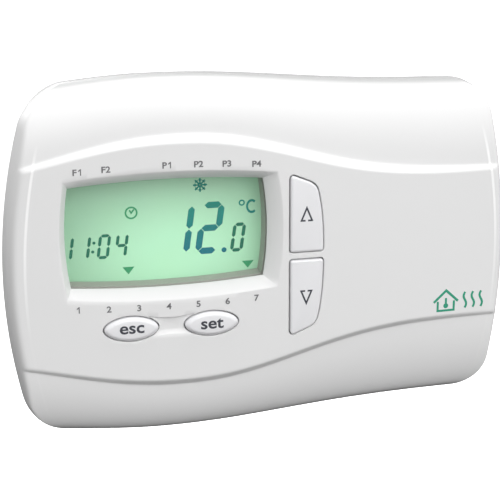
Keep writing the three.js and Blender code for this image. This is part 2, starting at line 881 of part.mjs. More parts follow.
function tactSwitch({ x, z }) {
  const half = switchSide / 2;
  const top = partBack + switchHeight;
  const body = block(x - half, x + half, partBack, top, z - half, z + half);
  const boreBack = top - plungerInside - keyTravel - 0.2;
  return cut(body, rodY(x, z, plungerRadius + plungerClearance, boreBack, top + 1, 16));
}

function switchPlunger({ x, z }) {
  const top = partBack + switchHeight;
  return rodY(x, z, plungerRadius, top - plungerInside, top + plungerHeight, 16);
}

// ---------------------------------------------------------------- board and components

function mainBoard() {
  const c = boardCornerCut;
  const outline = [
    [boardLeft + c, boardBottom], [boardRight - c, boardBottom], [boardRight, boardBottom + c],
    [boardRight, boardTop - c], [boardRight - c, boardTop], [boardLeft + c, boardTop],
    [boardLeft, boardTop - c], [boardLeft, boardBottom + c],
  ];
  const through = (spot, radius, sides) => {
    return rodY(spot[0], spot[1], radius, boardBack - 1, boardFront + 1, sides);
  };
  return cut(
    prism(outline, boardBack, boardFront),
    ...boardScrews.map((spot) => through(spot, screwRadius + gap, 12)),
    ...rearScrews.map((spot) => through(spot, bossRadius + 2 * gap, 16)),
    ...tongueBlocks(2 * tongueClearance, boardBack - 1, boardFront + 1),
  );
}

/** Chip body with a row of legs on each of two sides. */
function chip(x, z) {
  const halfW = chipWidth / 2;
  const halfH = chipHeight / 2;
  const body = block(x - halfW, x + halfW, partBack + 0.15, partBack + chipThickness, z - halfH, z + halfH);
  const reach = halfH + chipLegLength;
  const legs = [];
  for (let i = 0; i < chipLegs; i++) {
    const legX = x + (i - (chipLegs - 1) / 2) * chipWidth / chipLegs;
    const side = chipLegWidth / 2;
    legs.push(block(legX - side, legX + side, partBack, partBack + chipLegWidth, z - reach, z + reach));
  }
  return union(body, ...legs);
}

function relay() {
  return block(relayX - relayLength / 2, relayX + relayLength / 2, partBack, partBack + 10,
    relayZ - relayWidth / 2, relayZ + relayWidth / 2);
}

function crystalCan() {
  const outline = (extra) => {
    return slotOutline(partsX + 1, crystalZ, crystalLength + extra, crystalWidth + extra, true);
  };
  const can = prism(outline(0), partBack, partBack + crystalHeight);
  return union(can, prism(outline(1), partBack, partBack + 0.5));
}

function capacitor() {
  const r = capacitorRadius;
  const neck = r - capacitorGroove;
  const h = capacitorHeight;
  const profile = [
    [0, 0], [r, 0], [r, 0.9], [neck, 1.2], [r, 1.5], [r, h - 0.4], [r - 0.5, h], [0, h],
  ].map(([radius, height]) => new THREE.Vector2(radius, height));
  const can = new THREE.LatheGeometry(profile, 18);
  can.rotateX(Math.PI);
  can.translate(relayX + 6, -partBack, relayZ - 15);
  return solid(can);
}

/** Bead on two legs near the board's lower right corner. */
function temperatureSensor() {
  const x = boardRight - sensorFromRight;
  const z = boardBottom + sensorFromBottom;
  const bead = new THREE.SphereGeometry(sensorRadius, 12, 8);
  bead.translate(x, -(partBack + sensorStandoff), z);
  const legs = [-1, 1].map((side) => {
    return rodY(x + side * sensorLegSpacing / 2, z, sensorLegRadius, partBack, partBack + sensorStandoff, 8);
  });
  return union(solid(bead), ...legs);
}

/** Pins and their carrier behind the board. */
function pinHeader() {
  const half = plugLength / 2;
  const carrier = block(plugX - half, plugX + half, plugFront, boardBack - gap,
    plugZ - plugHeight / 2, plugZ + plugHeight / 2);
  const side = pinSide / 2;
  const pins = [];
  for (let i = 0; i < pinCount; i++) {
    const x = pinX(i);
    pins.push(block(x - side, x + side, terminalBase + 1.6, plugFront + 1, plugZ - side, plugZ + side));
  }
  return union(carrier, ...pins);
}

function led(side) {
  const z = windowCentreZ + side * ledFromMiddle;
  const right = windowLeft - guideMarginX - gap;
  return block(right - ledWidth, right, partBack, partBack + ledThickness,
    z - ledHeight / 2, z + ledHeight / 2);
}

/** Rubber strip between the board's pads and the glass, above or below the light guide. */
function contactStrip(side) {
  const z = windowCentreZ + side * (windowHeight / 2 + glassMarginZ - stripFromGlassEdge);
  return block(windowLeft, windowRight, guideBack, glassBack - gap, z - stripHeight / 2, z + stripHeight / 2);
}

/** Screw along Y with a cross recess, head towards the wall. */
function screw([x, z], headFront) {
  const back = headFront - screwHeadHeight;
  const head = rodY(x, z, screwHeadRadius, back, headFront, 14);
  const shank = rodY(x, z, screwRadius, headFront - 0.2, headFront + screwLength, 8);
  const bar = (halfX, halfZ) => {
    return block(x - halfX, x + halfX, back - 1, back + crossDepth, z - halfZ, z + halfZ);
  };
  const long = crossLength / 2;
  const narrow = crossWidth / 2;
  return cut(union(head, shank), union(bar(long, narrow), bar(narrow, long)));
}

// ---------------------------------------------------------------- rear cover and cells

function rearCover() {
  const rimFront = rearCoverFront + rearRimHeight;
  const sheet = prism(outlineInside(rearOutlineInset), rearCoverBack, rearCoverFront);
  const rim = cut(
    prism(outlineInside(rearOutlineInset), rearCoverBack + 0.5, rimFront),
    prism(outlineInside(rearOutlineInset + rearRimWidth), rearCoverFront - 0.3, rimFront + 1),
  );
  const trough = block(troughLeft - troughWall, troughRight + troughWall, rearCoverBack,
    troughFront + troughWall, troughBottom - troughWall, troughTop + troughWall);
  const well = block(troughLeft, troughRight, rearCoverBack - 1, troughFront, troughBottom, troughTop);
  const service = block(terminalLeft - serviceMargin, terminalRight + serviceMargin, 0, rimFront + 1,
    terminalBottom - serviceMargin, plugZ + plugHeight / 2 + serviceMargin);
  const holes = rearScrews.map(([x, z]) => rodY(x, z, screwRadius + gap, 0, rimFront, 12));
  const sinks = rearScrews.map(([x, z]) => {
    return rodY(x, z, screwHeadRadius + gap, 0, rearCoverBack + 0.4, 18);
  });
  return cut(union(sheet, rim, trough), well, service, ...holes, ...sinks,
    ...tongueBlocks(tongueClearance, 0, rimFront),
    ...ventBlocks(ventBottom, ventHeight, 0, rimFront));
}

/** A cell lying along X with its nipple to the right. */
function cell(z) {
  const flatEnd = springStart + springLength + gap;
  const shoulder = flatEnd + cellLength;
  const body = rodX(flatEnd, shoulder, cellDepth, z, cellRadius, 24);
  const nipple = rodX(shoulder - 0.5, shoulder + cellNippleLength, cellDepth, z, cellNippleRadius, 12);
  return union(body, nipple);
}

/** Flat contact across both cells at one end of the trough. */
function contactPlate(x) {
  return block(x, x + contactThickness, cellDepth - contactReach, cellDepth + contactReach,
    cellLowZ - contactReach, cellHighZ + contactReach);
}

/** Conical spring that presses on a cell's flat end. */
function cellSpring(z) {
  class Coil extends THREE.Curve {
    getPoint(t, target = new THREE.Vector3()) {
      const angle = t * springTurns * 2 * Math.PI;
      const radius = springWideRadius + (springNarrowRadius - springWideRadius) * t;
      const x = springStart + springWire / 2 + t * (springLength - springWire - gap);
      return target.set(x, -cellDepth + radius * Math.cos(angle), z + radius * Math.sin(angle));
    }
  }
  const section = new THREE.Shape();
  section.absarc(0, 0, springWire / 2, 0, 2 * Math.PI, false);
  const wire = new THREE.ExtrudeGeometry(section, {
    steps: springTurns * 10,
    curveSegments: 3,
    extrudePath: new Coil(),
  });
  return solid(wire);
}

// ---------------------------------------------------------------- materials

function finish(color, roughness, metalness = 0) {
  return new THREE.MeshStandardMaterial({ color, roughness, metalness });
}

const whitePlastic = finish(0xe6e6e6, 0.42);
const keyPlastic = finish(0xe9e9ea, 0.4);
const greyPlastic = finish(0x9a9f98, 0.5);
const clearPlastic = new THREE.MeshStandardMaterial({
  color: 0xffffff,
  roughness: 0.05,
  transparent: true,
  opacity: 0.2,
});
const displayGreen = finish(0xa8dcb8, 0.3);
const guidePlastic = finish(0xf2f5f0, 0.3);
const boardGreen = finish(0x1f6b45, 0.5);
const blackPlastic = finish(0x1d1e20, 0.55);
const terminalGreen = finish(0x3f4a50, 0.5);
const brass = finish(0xc9a24a, 0.35, 1);
const steel = finish(0xb9bcc0, 0.35, 1);
const rubber = finish(0x35373a, 0.8);
const cellJacket = finish(0x3c6fa5, 0.35, 0.3);
const ledWhite = finish(0xfdfbe6, 0.3);
const relayWhite = finish(0xd9dbd6, 0.45);
const canBlue = finish(0x23314f, 0.4);

// ---------------------------------------------------------------- assembly

const thermostat = new THREE.Group();
const wallBase = new THREE.Group();
const frontUnit = new THREE.Group();
thermostat.add(wallBase, frontUnit);

function place(group, name, body, material) {
  const mesh = new THREE.Mesh(geometryOf(body), material);
  mesh.name = name;
  group.add(mesh);
}

place(wallBase, 'wall_plate', wallPlate(), whitePlastic);
place(wallBase, 'terminal_block', terminalBlock(), terminalGreen);
for (let i = 0; i < terminalCount; i++) {
  place(wallBase, `terminal_clamp_${i + 1}`, terminalClamp(i), brass);
  place(wallBase, `terminal_screw_${i + 1}`, terminalScrew(i), steel);
}
place(wallBase, 'base_socket', baseSocket(), blackPlastic);

place(frontUnit, 'front_cover', frontCover(), whitePlastic);
place(frontUnit, 'display_window', displayWindow(), clearPlastic);
place(frontUnit, 'lcd_frame', lcdFrame(), greyPlastic);
place(frontUnit, 'lcd_glass', lcdGlass(), displayGreen);
place(frontUnit, 'backlight_guide', backlightGuide(), guidePlastic);
place(frontUnit, 'backlight_led_upper', led(1), ledWhite);
place(frontUnit, 'backlight_led_lower', led(-1), ledWhite);
place(frontUnit, 'contact_strip_top', contactStrip(1), rubber);
place(frontUnit, 'contact_strip_bottom', contactStrip(-1), rubber);
place(frontUnit, 'main_board', mainBoard(), boardGreen);
place(frontUnit, 'microcontroller', chip(partsX + 5, 3), blackPlastic);
place(frontUnit, 'relay', relay(), relayWhite);
place(frontUnit, 'quartz_crystal', crystalCan(), steel);
place(frontUnit, 'capacitor', capacitor(), canBlue);
place(frontUnit, 'temperature_sensor', temperatureSensor(), rubber);
place(frontUnit, 'pin_header', pinHeader(), blackPlastic);
for (const key of keys) place(frontUnit, `${key.name}_switch`, tactSwitch(key), blackPlastic);
boardScrews.forEach((spot, i) => {
  place(frontUnit, `board_screw_${i + 1}`, screw(spot, boardBack - gap), steel);
});
place(frontUnit, 'rear_cover', rearCover(), whitePlastic);
rearScrews.forEach((spot, i) => {
  place(frontUnit, `rear_screw_${i + 1}`, screw(spot, rearCoverBack + 0.1), steel);
});
place(frontUnit, 'cell_upper', cell(cellHighZ), cellJacket);
place(frontUnit, 'cell_lower', cell(cellLowZ), cellJacket);
place(frontUnit, 'cell_spring_upper', cellSpring(cellHighZ), steel);
place(frontUnit, 'cell_spring_lower', cellSpring(cellLowZ), steel);
place(frontUnit, 'cell_contact_left', contactPlate(troughLeft + gap), steel);
place(frontUnit, 'cell_contact_right', contactPlate(troughRight - gap - contactThickness), steel);

for (const key of keys) {
  const group = new THREE.Group();
  frontUnit.add(group);
  place(group, `${key.name}_key`, keyCap(key), keyPlastic);
  place(group, `${key.name}_plunger`, switchPlunger(key), keyPlastic);
}

export default thermostat;
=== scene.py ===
"""Looks of a wall thermostat: a wavy raised panel, a green display and four keys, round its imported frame."""

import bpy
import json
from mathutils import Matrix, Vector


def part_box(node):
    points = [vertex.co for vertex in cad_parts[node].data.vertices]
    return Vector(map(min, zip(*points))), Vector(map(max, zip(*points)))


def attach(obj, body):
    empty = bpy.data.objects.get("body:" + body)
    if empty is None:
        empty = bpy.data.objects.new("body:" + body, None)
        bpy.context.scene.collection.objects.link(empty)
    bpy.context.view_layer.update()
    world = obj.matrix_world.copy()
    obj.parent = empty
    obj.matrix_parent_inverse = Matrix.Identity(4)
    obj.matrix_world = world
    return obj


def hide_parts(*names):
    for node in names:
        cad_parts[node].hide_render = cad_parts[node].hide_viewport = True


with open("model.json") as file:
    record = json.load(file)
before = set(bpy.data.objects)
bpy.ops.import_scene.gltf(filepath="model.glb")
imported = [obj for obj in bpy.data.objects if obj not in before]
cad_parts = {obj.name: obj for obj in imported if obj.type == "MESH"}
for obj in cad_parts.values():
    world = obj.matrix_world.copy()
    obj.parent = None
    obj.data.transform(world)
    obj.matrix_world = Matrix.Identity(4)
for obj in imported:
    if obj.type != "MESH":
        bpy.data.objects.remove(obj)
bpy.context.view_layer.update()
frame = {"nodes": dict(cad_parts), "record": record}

import json
import math

import bpy
from mathutils import Matrix, Vector

bl_info = {
    "name": "Wall thermostat",
    "version": (1, 0, 0),
    "blender": (4, 5, 0),
    "location": "3D View > Sidebar > Thermostat",
    "description": "Models a wall thermostat's cover, display, keys and markings round its packed frame",
    "category": "Object",
}

FRONT = "front_unit"
MM = 0.001


def centre(node):
    """Middle of a CAD node's box, in millimetres."""
    low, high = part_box(node)
    return (low + high) / 2 / MM


# ------------------------------------------------------------------ sizes in millimetres

COVER_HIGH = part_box("front_cover")[1] / MM
GLASS_LOW, GLASS_HIGH = (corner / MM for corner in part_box("lcd_glass"))

# Outline of the cover at its widest section
HALF_WIDTH = COVER_HIGH.x
BULGE_HALF = 49.0
END_HALF = 44.8
BULGE_X = -26.0
BULGE_REACH = (36.0, 43.6)
BULGE_POWER = 2.1
SIDE_RADIUS = (148.0, 170.0)
SIDE_CENTRE_Z = -4.5
CORNER_RADIUS = 9.5
REAR_DRAFT = 0.144
GAP_TO_WALL = -COVER_HIGH.y

# Front skin: rounded bands above and below a raised panel with wavy edges
PANEL_DEPTH = 28.0
WIDEST_DEPTH = PANEL_DEPTH - 10.0
PANEL_STEP = 2.2
STEP_WIDTH = 1.9
ROLL_WIDTH = 6.5
ROLL_RISE = 10.5
WAVE_HALF = 32.25
WAVE_END_HALF = 19.6
WAVE_X = -22.0
WAVE_REACH = (46.0, 40.5)
WAVE_POWER = 2.2
PANEL_BOW = 1.58
PANEL_BOW_RADIUS = HALF_WIDTH ** 2 / (2 * PANEL_BOW)
# Over what height two surfaces run into each other: at the step's top, at its foot and at the roll
SOFT_TOP = 0.7
SOFT_FOOT = 0.35
SOFT_ROLL = 0.9
# How much the wave moves in on the skin's inner side, as a share of the wall
INNER_WAVE = 0.6

# Window: its opening lies a margin inside the display glass
GLASS_MARGIN_X = 3.0
GLASS_MARGIN_Z = 4.2
WINDOW_LEFT = GLASS_LOW.x + GLASS_MARGIN_X
WINDOW_RIGHT = GLASS_HIGH.x - GLASS_MARGIN_X
WINDOW_BOTTOM = GLASS_LOW.z + GLASS_MARGIN_Z
WINDOW_TOP = GLASS_HIGH.z - GLASS_MARGIN_Z
WINDOW_BOW = 1.15
CHAMFER = {"left": 1.1, "right": 3.2, "top": 2.0, "bottom": 2.4, "bow": 0.45, "depth": 3.0}
RIM_BACK = PANEL_DEPTH - 3.4
RIM_FRONT = PANEL_DEPTH - 1.6
RIM_SHARE = 1.25
# Rounding of the chamfer's foot: a share of the chamfer, and depths behind and before its floor
FOOT_SHARE = 0.03
FOOT_BEHIND = 0.12
FOOT_BEFORE = 0.02
# Middle of the window's lip: how far outside the chamfer, and how far under the face
LIP_OUT = 0.1
LIP_UNDER = 0.06

# Keys
LENS_LENGTH = 14.3
LENS_HEIGHT = 6.5
LENS_FULLNESS = 1.85
TALL_WIDTH = 9.0
TALL_HEIGHT = 20.7
TALL_GAP = 2.3
# Corners of a tall key: beside its neighbour, on its far side and at its slanted end
TALL_CORNER = 0.7
TALL_FAR_CORNER = 0.9
TALL_END_CORNER = 1.1
# Where its arched side ends, the bend after that, and where its slant starts, from its far upper corner
TALL_SHOULDER = ((1.6, 4.0), (2.2, 2.4), (4.2, 1.6))
KEY_CLEARANCE = 0.35
FLANGE_THICKNESS = 0.9
FLANGE_GAP = 0.4
STEM_SIDE = 3.2
STEM_OVERLAP = 0.3

# A print starts this far in front of its face
PRINT_GAP = 0.01


# ------------------------------------------------------------------ settings shown to a user

def colour_property(name, description, hex_value):
    return bpy.props.FloatVectorProperty(
        name=name, description=description, subtype="COLOR", size=3, min=0, max=1,
        default=linear(hex_value)[:3],
    )


def length_property(name, description, millimetres):
    return bpy.props.FloatProperty(
        name=name, description=description, subtype="DISTANCE", unit="LENGTH", min=0,
        default=millimetres * MM, precision=5,
    )


def linear(hex_value):
    """sRGB hex value as a linear colour with alpha 1."""
    channels = [(hex_value >> shift & 255) / 255 for shift in (16, 8, 0)]
    return tuple(c / 12.92 if c <= 0.04045 else ((c + 0.055) / 1.055) ** 2.4 for c in channels) + (1.0,)


class ThermostatSizes(bpy.types.PropertyGroup):
    cover_wall: length_property("Cover wall", "Thickness of the front cover", 2.2)
    edge_round: length_property("Edge rounding", "Rounding of the lips round the window and the keys", 0.3)
    lens_key_proud: length_property("Lens key height", "How far the lens keys stand out of the panel", 0.9)
    tall_key_proud: length_property("Tall key height", "How far the tall keys stand out of the panel", 0.5)
    hollow_depth: length_property("Hollow depth", "Depth of the hollow between the lens keys", 0.6)
    print_thickness: length_property("Print thickness", "Thickness of the printed markings", 0.03)


class ThermostatColours(bpy.types.PropertyGroup):
    cover: colour_property("Cover", "Colour of the front cover", 0xE3E3E3)
    keys: colour_property("Keys", "Colour of the four keys", 0xE6E6E8)
    display: colour_property("Display", "Colour of the lit display", 0xB0E4BF)
    small_digits: colour_property("Small digits", "Colour of the time and the small figures", 0x206E56)
    large_digits: colour_property("Large digits", "Colour of the large temperature figures", 0x1C8678)
    symbols: colour_property("Symbols", "Colour of the symbols on the display", 0x3A9666)
    labels: colour_property("Labels", "Colour of the small labels on the panel", 0x6E6E70)
    key_labels: colour_property("Key labels", "Colour of the words and arrows on the keys", 0x3E4048)
    pictogram: colour_property("Pictogram", "Colour of the house and thermometer mark", 0x2E9678)


def sizes():
    return bpy.context.scene.thermostat_sizes


def colours():
    return bpy.context.scene.thermostat_colours


# ------------------------------------------------------------------ mesh tools

def deselect():
    if bpy.context.mode != "OBJECT":
        bpy.ops.object.mode_set(mode="OBJECT")
    bpy.ops.object.select_all(action="DESELECT")


def select_only(*pieces):
    deselect()
    for piece in pieces:
        piece.select_set(True)
    bpy.context.view_layer.objects.active = pieces[0]


def named(name):
    """Gives the primitive that was just added its name."""
    piece = bpy.context.object
    piece.name = name
    piece.data.name = name
    return piece


def at(x, depth, z):
    """Place in metres of a point given in millimetres, with its depth from the wall."""
    return Vector((x * MM, -depth * MM, z * MM))


def ring(outline, depth):
    """Outline of (x, z) points at one depth, or at the depth that a function of x gives."""
    return [at(x, depth(x) if callable(depth) else depth, z) for x, z in outline]


def outward(piece):
    select_only(piece)
    bpy.ops.object.mode_set(mode="EDIT")
    bpy.ops.mesh.select_all(action="SELECT")
    bpy.ops.mesh.remove_doubles(threshold=0.000002)
    bpy.ops.mesh.normals_make_consistent(inside=False)
    bpy.ops.object.mode_set(mode="OBJECT")


def drawn_out(name, rings):
    """A solid that starts as a filled circle and is extruded from ring to ring."""
    deselect()
    bpy.ops.mesh.primitive_circle_add(vertices=len(rings[0]), fill_type="NGON", radius=MM)
    piece = named(name)
    for vertex, place in zip(piece.data.vertices, rings[0]):
        vertex.co = place
    for before, after in zip(rings, rings[1:]):
        extrude_to(piece, before, after)
    outward(piece)
    return piece


def extrude_to(piece, before, after):
    """Extrudes what is selected, and moves each new vertex from its place in one ring to that in the next."""
    select_only(piece)
    bpy.ops.object.mode_set(mode="EDIT")
    bpy.ops.mesh.extrude_region_move()
    bpy.ops.object.mode_set(mode="OBJECT")
    target = {tuple(round(c, 7) for c in old): new for old, new in zip(before, after)}
    for vertex in piece.data.vertices:
        if vertex.select:
            vertex.co = target[tuple(round(c, 7) for c in vertex.co)]


def apply_modifier(piece, kind, **settings):
    select_only(piece)
    modifier = piece.modifiers.new(kind.title(), kind)
    for key, value in settings.items():
        setattr(modifier, key, value)
    bpy.ops.object.modifier_apply(modifier=modifier.name)


def combine(piece, tool, operation):
    """Adds a tool's solid to a piece, or takes it away, and removes the tool."""
    apply_modifier(piece, "BOOLEAN", operation=operation, object=tool, solver="EXACT")
    if not piece.data.polygons:
        raise RuntimeError(f"nothing is left of {piece.name} after {tool.name}")
    bpy.data.objects.remove(tool)


def smooth(piece, degrees=32):
    select_only(piece)
    bpy.ops.object.shade_smooth_by_angle(angle=math.radians(degrees))


def joined(name, pieces):
    select_only(*pieces)
    if len(pieces) > 1:
        bpy.ops.object.join()
    return named(name)


def block(name, place, size, bevel, segments, turn=0):
    """A box with rounded edges: place and size in metres, rounding in millimetres, turn in degrees."""
    deselect()
    bpy.ops.mesh.primitive_cube_add(size=1, location=place, rotation=(0, math.radians(turn), 0), scale=size)
    piece = named(name)
    bpy.ops.object.transform_apply()
    apply_modifier(piece, "BEVEL", width=bevel * MM, segments=segments)
    return piece


def placed(outlines, x, z):
    return [[(x + across, z + up) for across, up in outline] for outline in outlines]


def flat_shapes(name, outlines, depth):
    """Thin raised shapes, one for each outline, that start as filled circles and are extruded together."""
    thickness = sizes().print_thickness
    faces = []
    for outline in outlines:
        deselect()
        bpy.ops.mesh.primitive_circle_add(vertices=len(outline), fill_type="NGON", radius=MM)
        faces.append(bpy.context.object)
        for vertex, place in zip(faces[-1].data.vertices, ring(outline, depth)):
            vertex.co = place
    piece = joined(name, faces)
    bpy.ops.object.mode_set(mode="EDIT")
    bpy.ops.mesh.select_all(action="SELECT")
    bpy.ops.mesh.extrude_region_move(TRANSFORM_OT_translate={"value": (0, -thickness, 0)})
    bpy.ops.object.mode_set(mode="OBJECT")
    outward(piece)
    return piece


def finish(piece, slot, material=None, replaces=(), body=FRONT):
    """Gives a piece the material of its slot, or the material given instead, and the body that it rides on."""
    piece.data.materials.clear()
    piece.data.materials.append(material or MATERIALS[slot])
    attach(piece, body)
    if replaces:
        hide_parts(*replaces)


# ------------------------------------------------------------------ shape of the cover

def bell(x, peak, reach, power):
    return math.exp(-abs((x - peak) / reach[x >= peak]) ** power)


def half_height(x):
    return END_HALF + (BULGE_HALF - END_HALF) * bell(x, BULGE_X, BULGE_REACH, BULGE_POWER)


def wave_half(x):
    return WAVE_END_HALF + (WAVE_HALF - WAVE_END_HALF) * bell(x, WAVE_X, WAVE_REACH, WAVE_POWER)


def side_edge(z, right):
    edge = HALF_WIDTH - (z - SIDE_CENTRE_Z) ** 2 / (2 * SIDE_RADIUS[right])
    return edge if right else -edge


def quarter_round(share):
    rest = 1 - min(max(share, 0), 1)
    return math.sqrt(1 - rest * rest)


def smooth_min(a, b, reach):
    overlap = max(reach - abs(a - b), 0) / reach
    return min(a, b) - overlap * overlap * reach / 4


def edge_distance(x, z, inset):
    """Distance in from the rounded outline."""
    radius = CORNER_RADIUS - inset
    side = min(x - side_edge(z, False), side_edge(z, True) - x) - inset
    edge = half_height(x) - abs(z) - inset
    if side < radius and edge < radius:
        return radius - math.hypot(radius - side, radius - edge)
    return min(side, edge)


def skin_depth(x, z, inset=0.0):
    """Depth of the front skin from the wall, or of the surface that lies a wall's thickness inside it."""
    wave = wave_half(x) - inset * INNER_WAVE
    band_start = wave + STEP_WIDTH
    band_end = half_height(x) - inset
    share = (band_end - abs(z)) / (band_end - band_start)
    band = WIDEST_DEPTH + (PANEL_DEPTH - PANEL_STEP - WIDEST_DEPTH - inset) * quarter_round(share)
    step = PANEL_DEPTH - inset - (abs(z) - wave) * PANEL_STEP / STEP_WIDTH
    raised = smooth_min(panel_depth(x) - inset, step, SOFT_TOP)
    front = -smooth_min(-band, -raised, SOFT_FOOT)
    rolled = quarter_round(edge_distance(x, z, inset) / (ROLL_WIDTH - inset))
    roll = WIDEST_DEPTH + (ROLL_RISE - inset) * rolled
    return smooth_min(front, roll, SOFT_ROLL)


def panel_depth(x):
    return PANEL_DEPTH - x * x / (2 * PANEL_BOW_RADIUS)


# Mesh of the front skin: its rows across the step, from the wavy edge, and how many lie on each other part
STEP_ROWS = (-0.9, -0.55, -0.3, -0.1, 0.1, 0.35, 0.8, 1.25, 1.55, 1.75, 1.95, 2.2, 2.6)
PANEL_ROWS = 40
BAND_ROWS = 26
SIDE_COLUMNS = 18
SIDE_REACH = 8.5
MIDDLE_COLUMNS = 118
# Depths of the side wall from the widest section back, and how far it is drawn in at each
SIDE_STEPS = (
    (WIDEST_DEPTH - 0.5, 0.02), (WIDEST_DEPTH - 1.2, 0.0), (12.0, 0.0), (6.0, 0.0), (GAP_TO_WALL + 0.3, 0.0),
)
REAR_ROUND = 0.25
# Rounds in which a vertex's column and row settle on each other
SETTLING_ROUNDS = 10


def upper_rows(x, inset):
    """Heights of the mesh rows of one column, from the panel's middle up to the edge."""
    wave = wave_half(x) - inset * INNER_WAVE
    edge = half_height(x) - inset
    first = wave + STEP_ROWS[0]
    rows = [first * i / (PANEL_ROWS / 2) for i in range(PANEL_ROWS // 2)]
    rows += [wave + step for step in STEP_ROWS]
    start = wave + STEP_ROWS[-1]
    turns = [i / BAND_ROWS * math.pi / 2 for i in range(1, BAND_ROWS + 1)]
    return rows + [start + (edge - start) * math.sin(turn) for turn in turns]


def skin_point(column, row, columns, inset):
    """Place of one vertex of the skin's grid, in millimetres."""
    rows_up = PANEL_ROWS // 2 + len(STEP_ROWS) + BAND_ROWS - 1
    level = row - rows_up
    radius = CORNER_RADIUS - inset
    x, z = 0.0, 0.0
    for _ in range(SETTLING_ROUNDS):
        z = math.copysign(upper_rows(x, inset)[abs(level)], level)
        from_edge = half_height(x) - inset - abs(z)
        turn = 0.0
        if from_edge < radius:
            turn = radius - math.sqrt(max(radius ** 2 - (radius - from_edge) ** 2, 0))
        low = side_edge(z, False) + inset + turn
        high = side_edge(z, True) - inset - turn
        x = column_place(column, columns, low, high)
    return x, z


def column_place(column, columns, low, high):
    """x of a column: close together near both sides, even between them."""
    if column <= SIDE_COLUMNS:
        return low + SIDE_REACH * (1 - math.cos(column / SIDE_COLUMNS * math.pi / 2))
    if column >= columns - SIDE_COLUMNS:
        return high - SIDE_REACH * (1 - math.cos((columns - column) / SIDE_COLUMNS * math.pi / 2))
    share = (column - SIDE_COLUMNS) / (columns - 2 * SIDE_COLUMNS)
    return low + SIDE_REACH + (high - low - 2 * SIDE_REACH) * share


def skin(name, inset):
    """The cover's front as a grid whose rows follow the wavy edges, its border drawn back to the wall."""
    columns = 2 * SIDE_COLUMNS + MIDDLE_COLUMNS
    rows = 2 * (PANEL_ROWS // 2 + len(STEP_ROWS) + BAND_ROWS - 1)
    deselect()
    bpy.ops.mesh.primitive_grid_add(x_subdivisions=columns, y_subdivisions=rows, size=MM)
    piece = named(name)
    for vertex in piece.data.vertices:
        row, column = divmod(vertex.index, columns + 1)
        x, z = skin_point(column, row, columns, inset)
        vertex.co = at(x, skin_depth(x, z, inset), z)
    border = list(range(columns + 1))
    border += [(r + 1) * (columns + 1) - 1 for r in range(1, rows + 1)]
    border += [rows * (columns + 1) + c for c in range(columns - 1, -1, -1)]
    border += [r * (columns + 1) for r in range(rows - 1, 0, -1)]
    edge = [piece.data.vertices[i].co.copy() for i in border]
    bpy.ops.object.mode_set(mode="EDIT")
    bpy.ops.mesh.select_mode(type="EDGE")
    bpy.ops.mesh.select_all(action="SELECT")
    bpy.ops.mesh.region_to_loop()
    bpy.ops.object.mode_set(mode="OBJECT")
    before = edge
    for depth, extra in (*SIDE_STEPS, (GAP_TO_WALL, 0.0 if inset else REAR_ROUND)):
        after = drafted(edge, depth, extra)
        extrude_to(piece, before, after)
        before = after
    return piece


def drafted(edge, depth, extra):
    """The border moved back to a depth and in by the draft, square to itself."""
    distance = ((WIDEST_DEPTH - depth) * REAR_DRAFT + extra) * MM
    moved = []
    for i, place in enumerate(edge):
        before, after = edge[i - 1], edge[(i + 1) % len(edge)]
        along = Vector((after.x - before.x, 0, after.z - before.z)).normalized()
        inwards = Vector((-along.z, 0, along.x))
        moved.append(Vector((place.x, -depth * MM, place.z)) + inwards * distance)
    return moved


def bowed_rectangle(left, right, bottom, top, bow, steps=16):
    points = []
    sides = (
        ((left, bottom), (right, bottom), (0, -1)),
        ((right, bottom), (right, top), (1, 0)),
        ((right, top), (left, top), (0, 1)),
        ((left, top), (left, bottom), (-1, 0)),
    )
    for (x0, z0), (x1, z1), (out_x, out_z) in sides:
        for i in range(steps):
            share = i / steps
            arch = bow * (1 - (2 * share - 1) ** 2)
            x, z = x0 + (x1 - x0) * share, z0 + (z1 - z0) * share
            points.append((x + out_x * arch, z + out_z * arch))
    return points


def window_outline(share, extra=0.0):
    """The window at a share of its chamfer: 0 at the opening, 1 at the panel's face."""
    return bowed_rectangle(
        WINDOW_LEFT - CHAMFER["left"] * share - extra,
        WINDOW_RIGHT + CHAMFER["right"] * share + extra,
        WINDOW_BOTTOM - CHAMFER["bottom"] * share - extra,
        WINDOW_TOP + CHAMFER["top"] * share + extra,
        WINDOW_BOW + CHAMFER["bow"] * share,
    )


def grown(outline, distance):
    """An outline moved out along its corner bisectors."""
    moved = []
    for i, (x, z) in enumerate(outline):
        (px, pz), (nx, nz) = outline[i - 1], outline[(i + 1) % len(outline)]
        before = Vector((z - pz, px - x)).normalized()
        after = Vector((nz - z, x - nx)).normalized()
        middle = (before + after).normalized()
        reach = distance / max(middle.dot(after), 0.35)
        moved.append((x + middle.x * reach, z + middle.y * reach))
    return moved


def lens_outline(x, z, length=LENS_LENGTH, height=LENS_HEIGHT, steps=56):
    """An oval that is slightly more pointed than an ellipse."""
    points = []
    for i in range(steps):
        angle = 2 * math.pi * (i + 0.5) / steps
        ways = (math.cos(angle), math.sin(angle))
        across, up = (math.copysign(abs(way) ** (2 / LENS_FULLNESS), way) for way in ways)
        points.append((x + across * length / 2, z + up * height / 2))
    return points


def curve(start, control, end, steps=6):
    """Points of a quadratic curve, without its start."""
    points = []
    for i in range(1, steps + 1):
        t = i / steps
        weights = ((1 - t) ** 2, 2 * t * (1 - t), t * t)
        through = list(zip(weights, (start, control, end)))
        points.append(tuple(sum(weight * point[k] for weight, point in through) for k in (0, 1)))
    return points


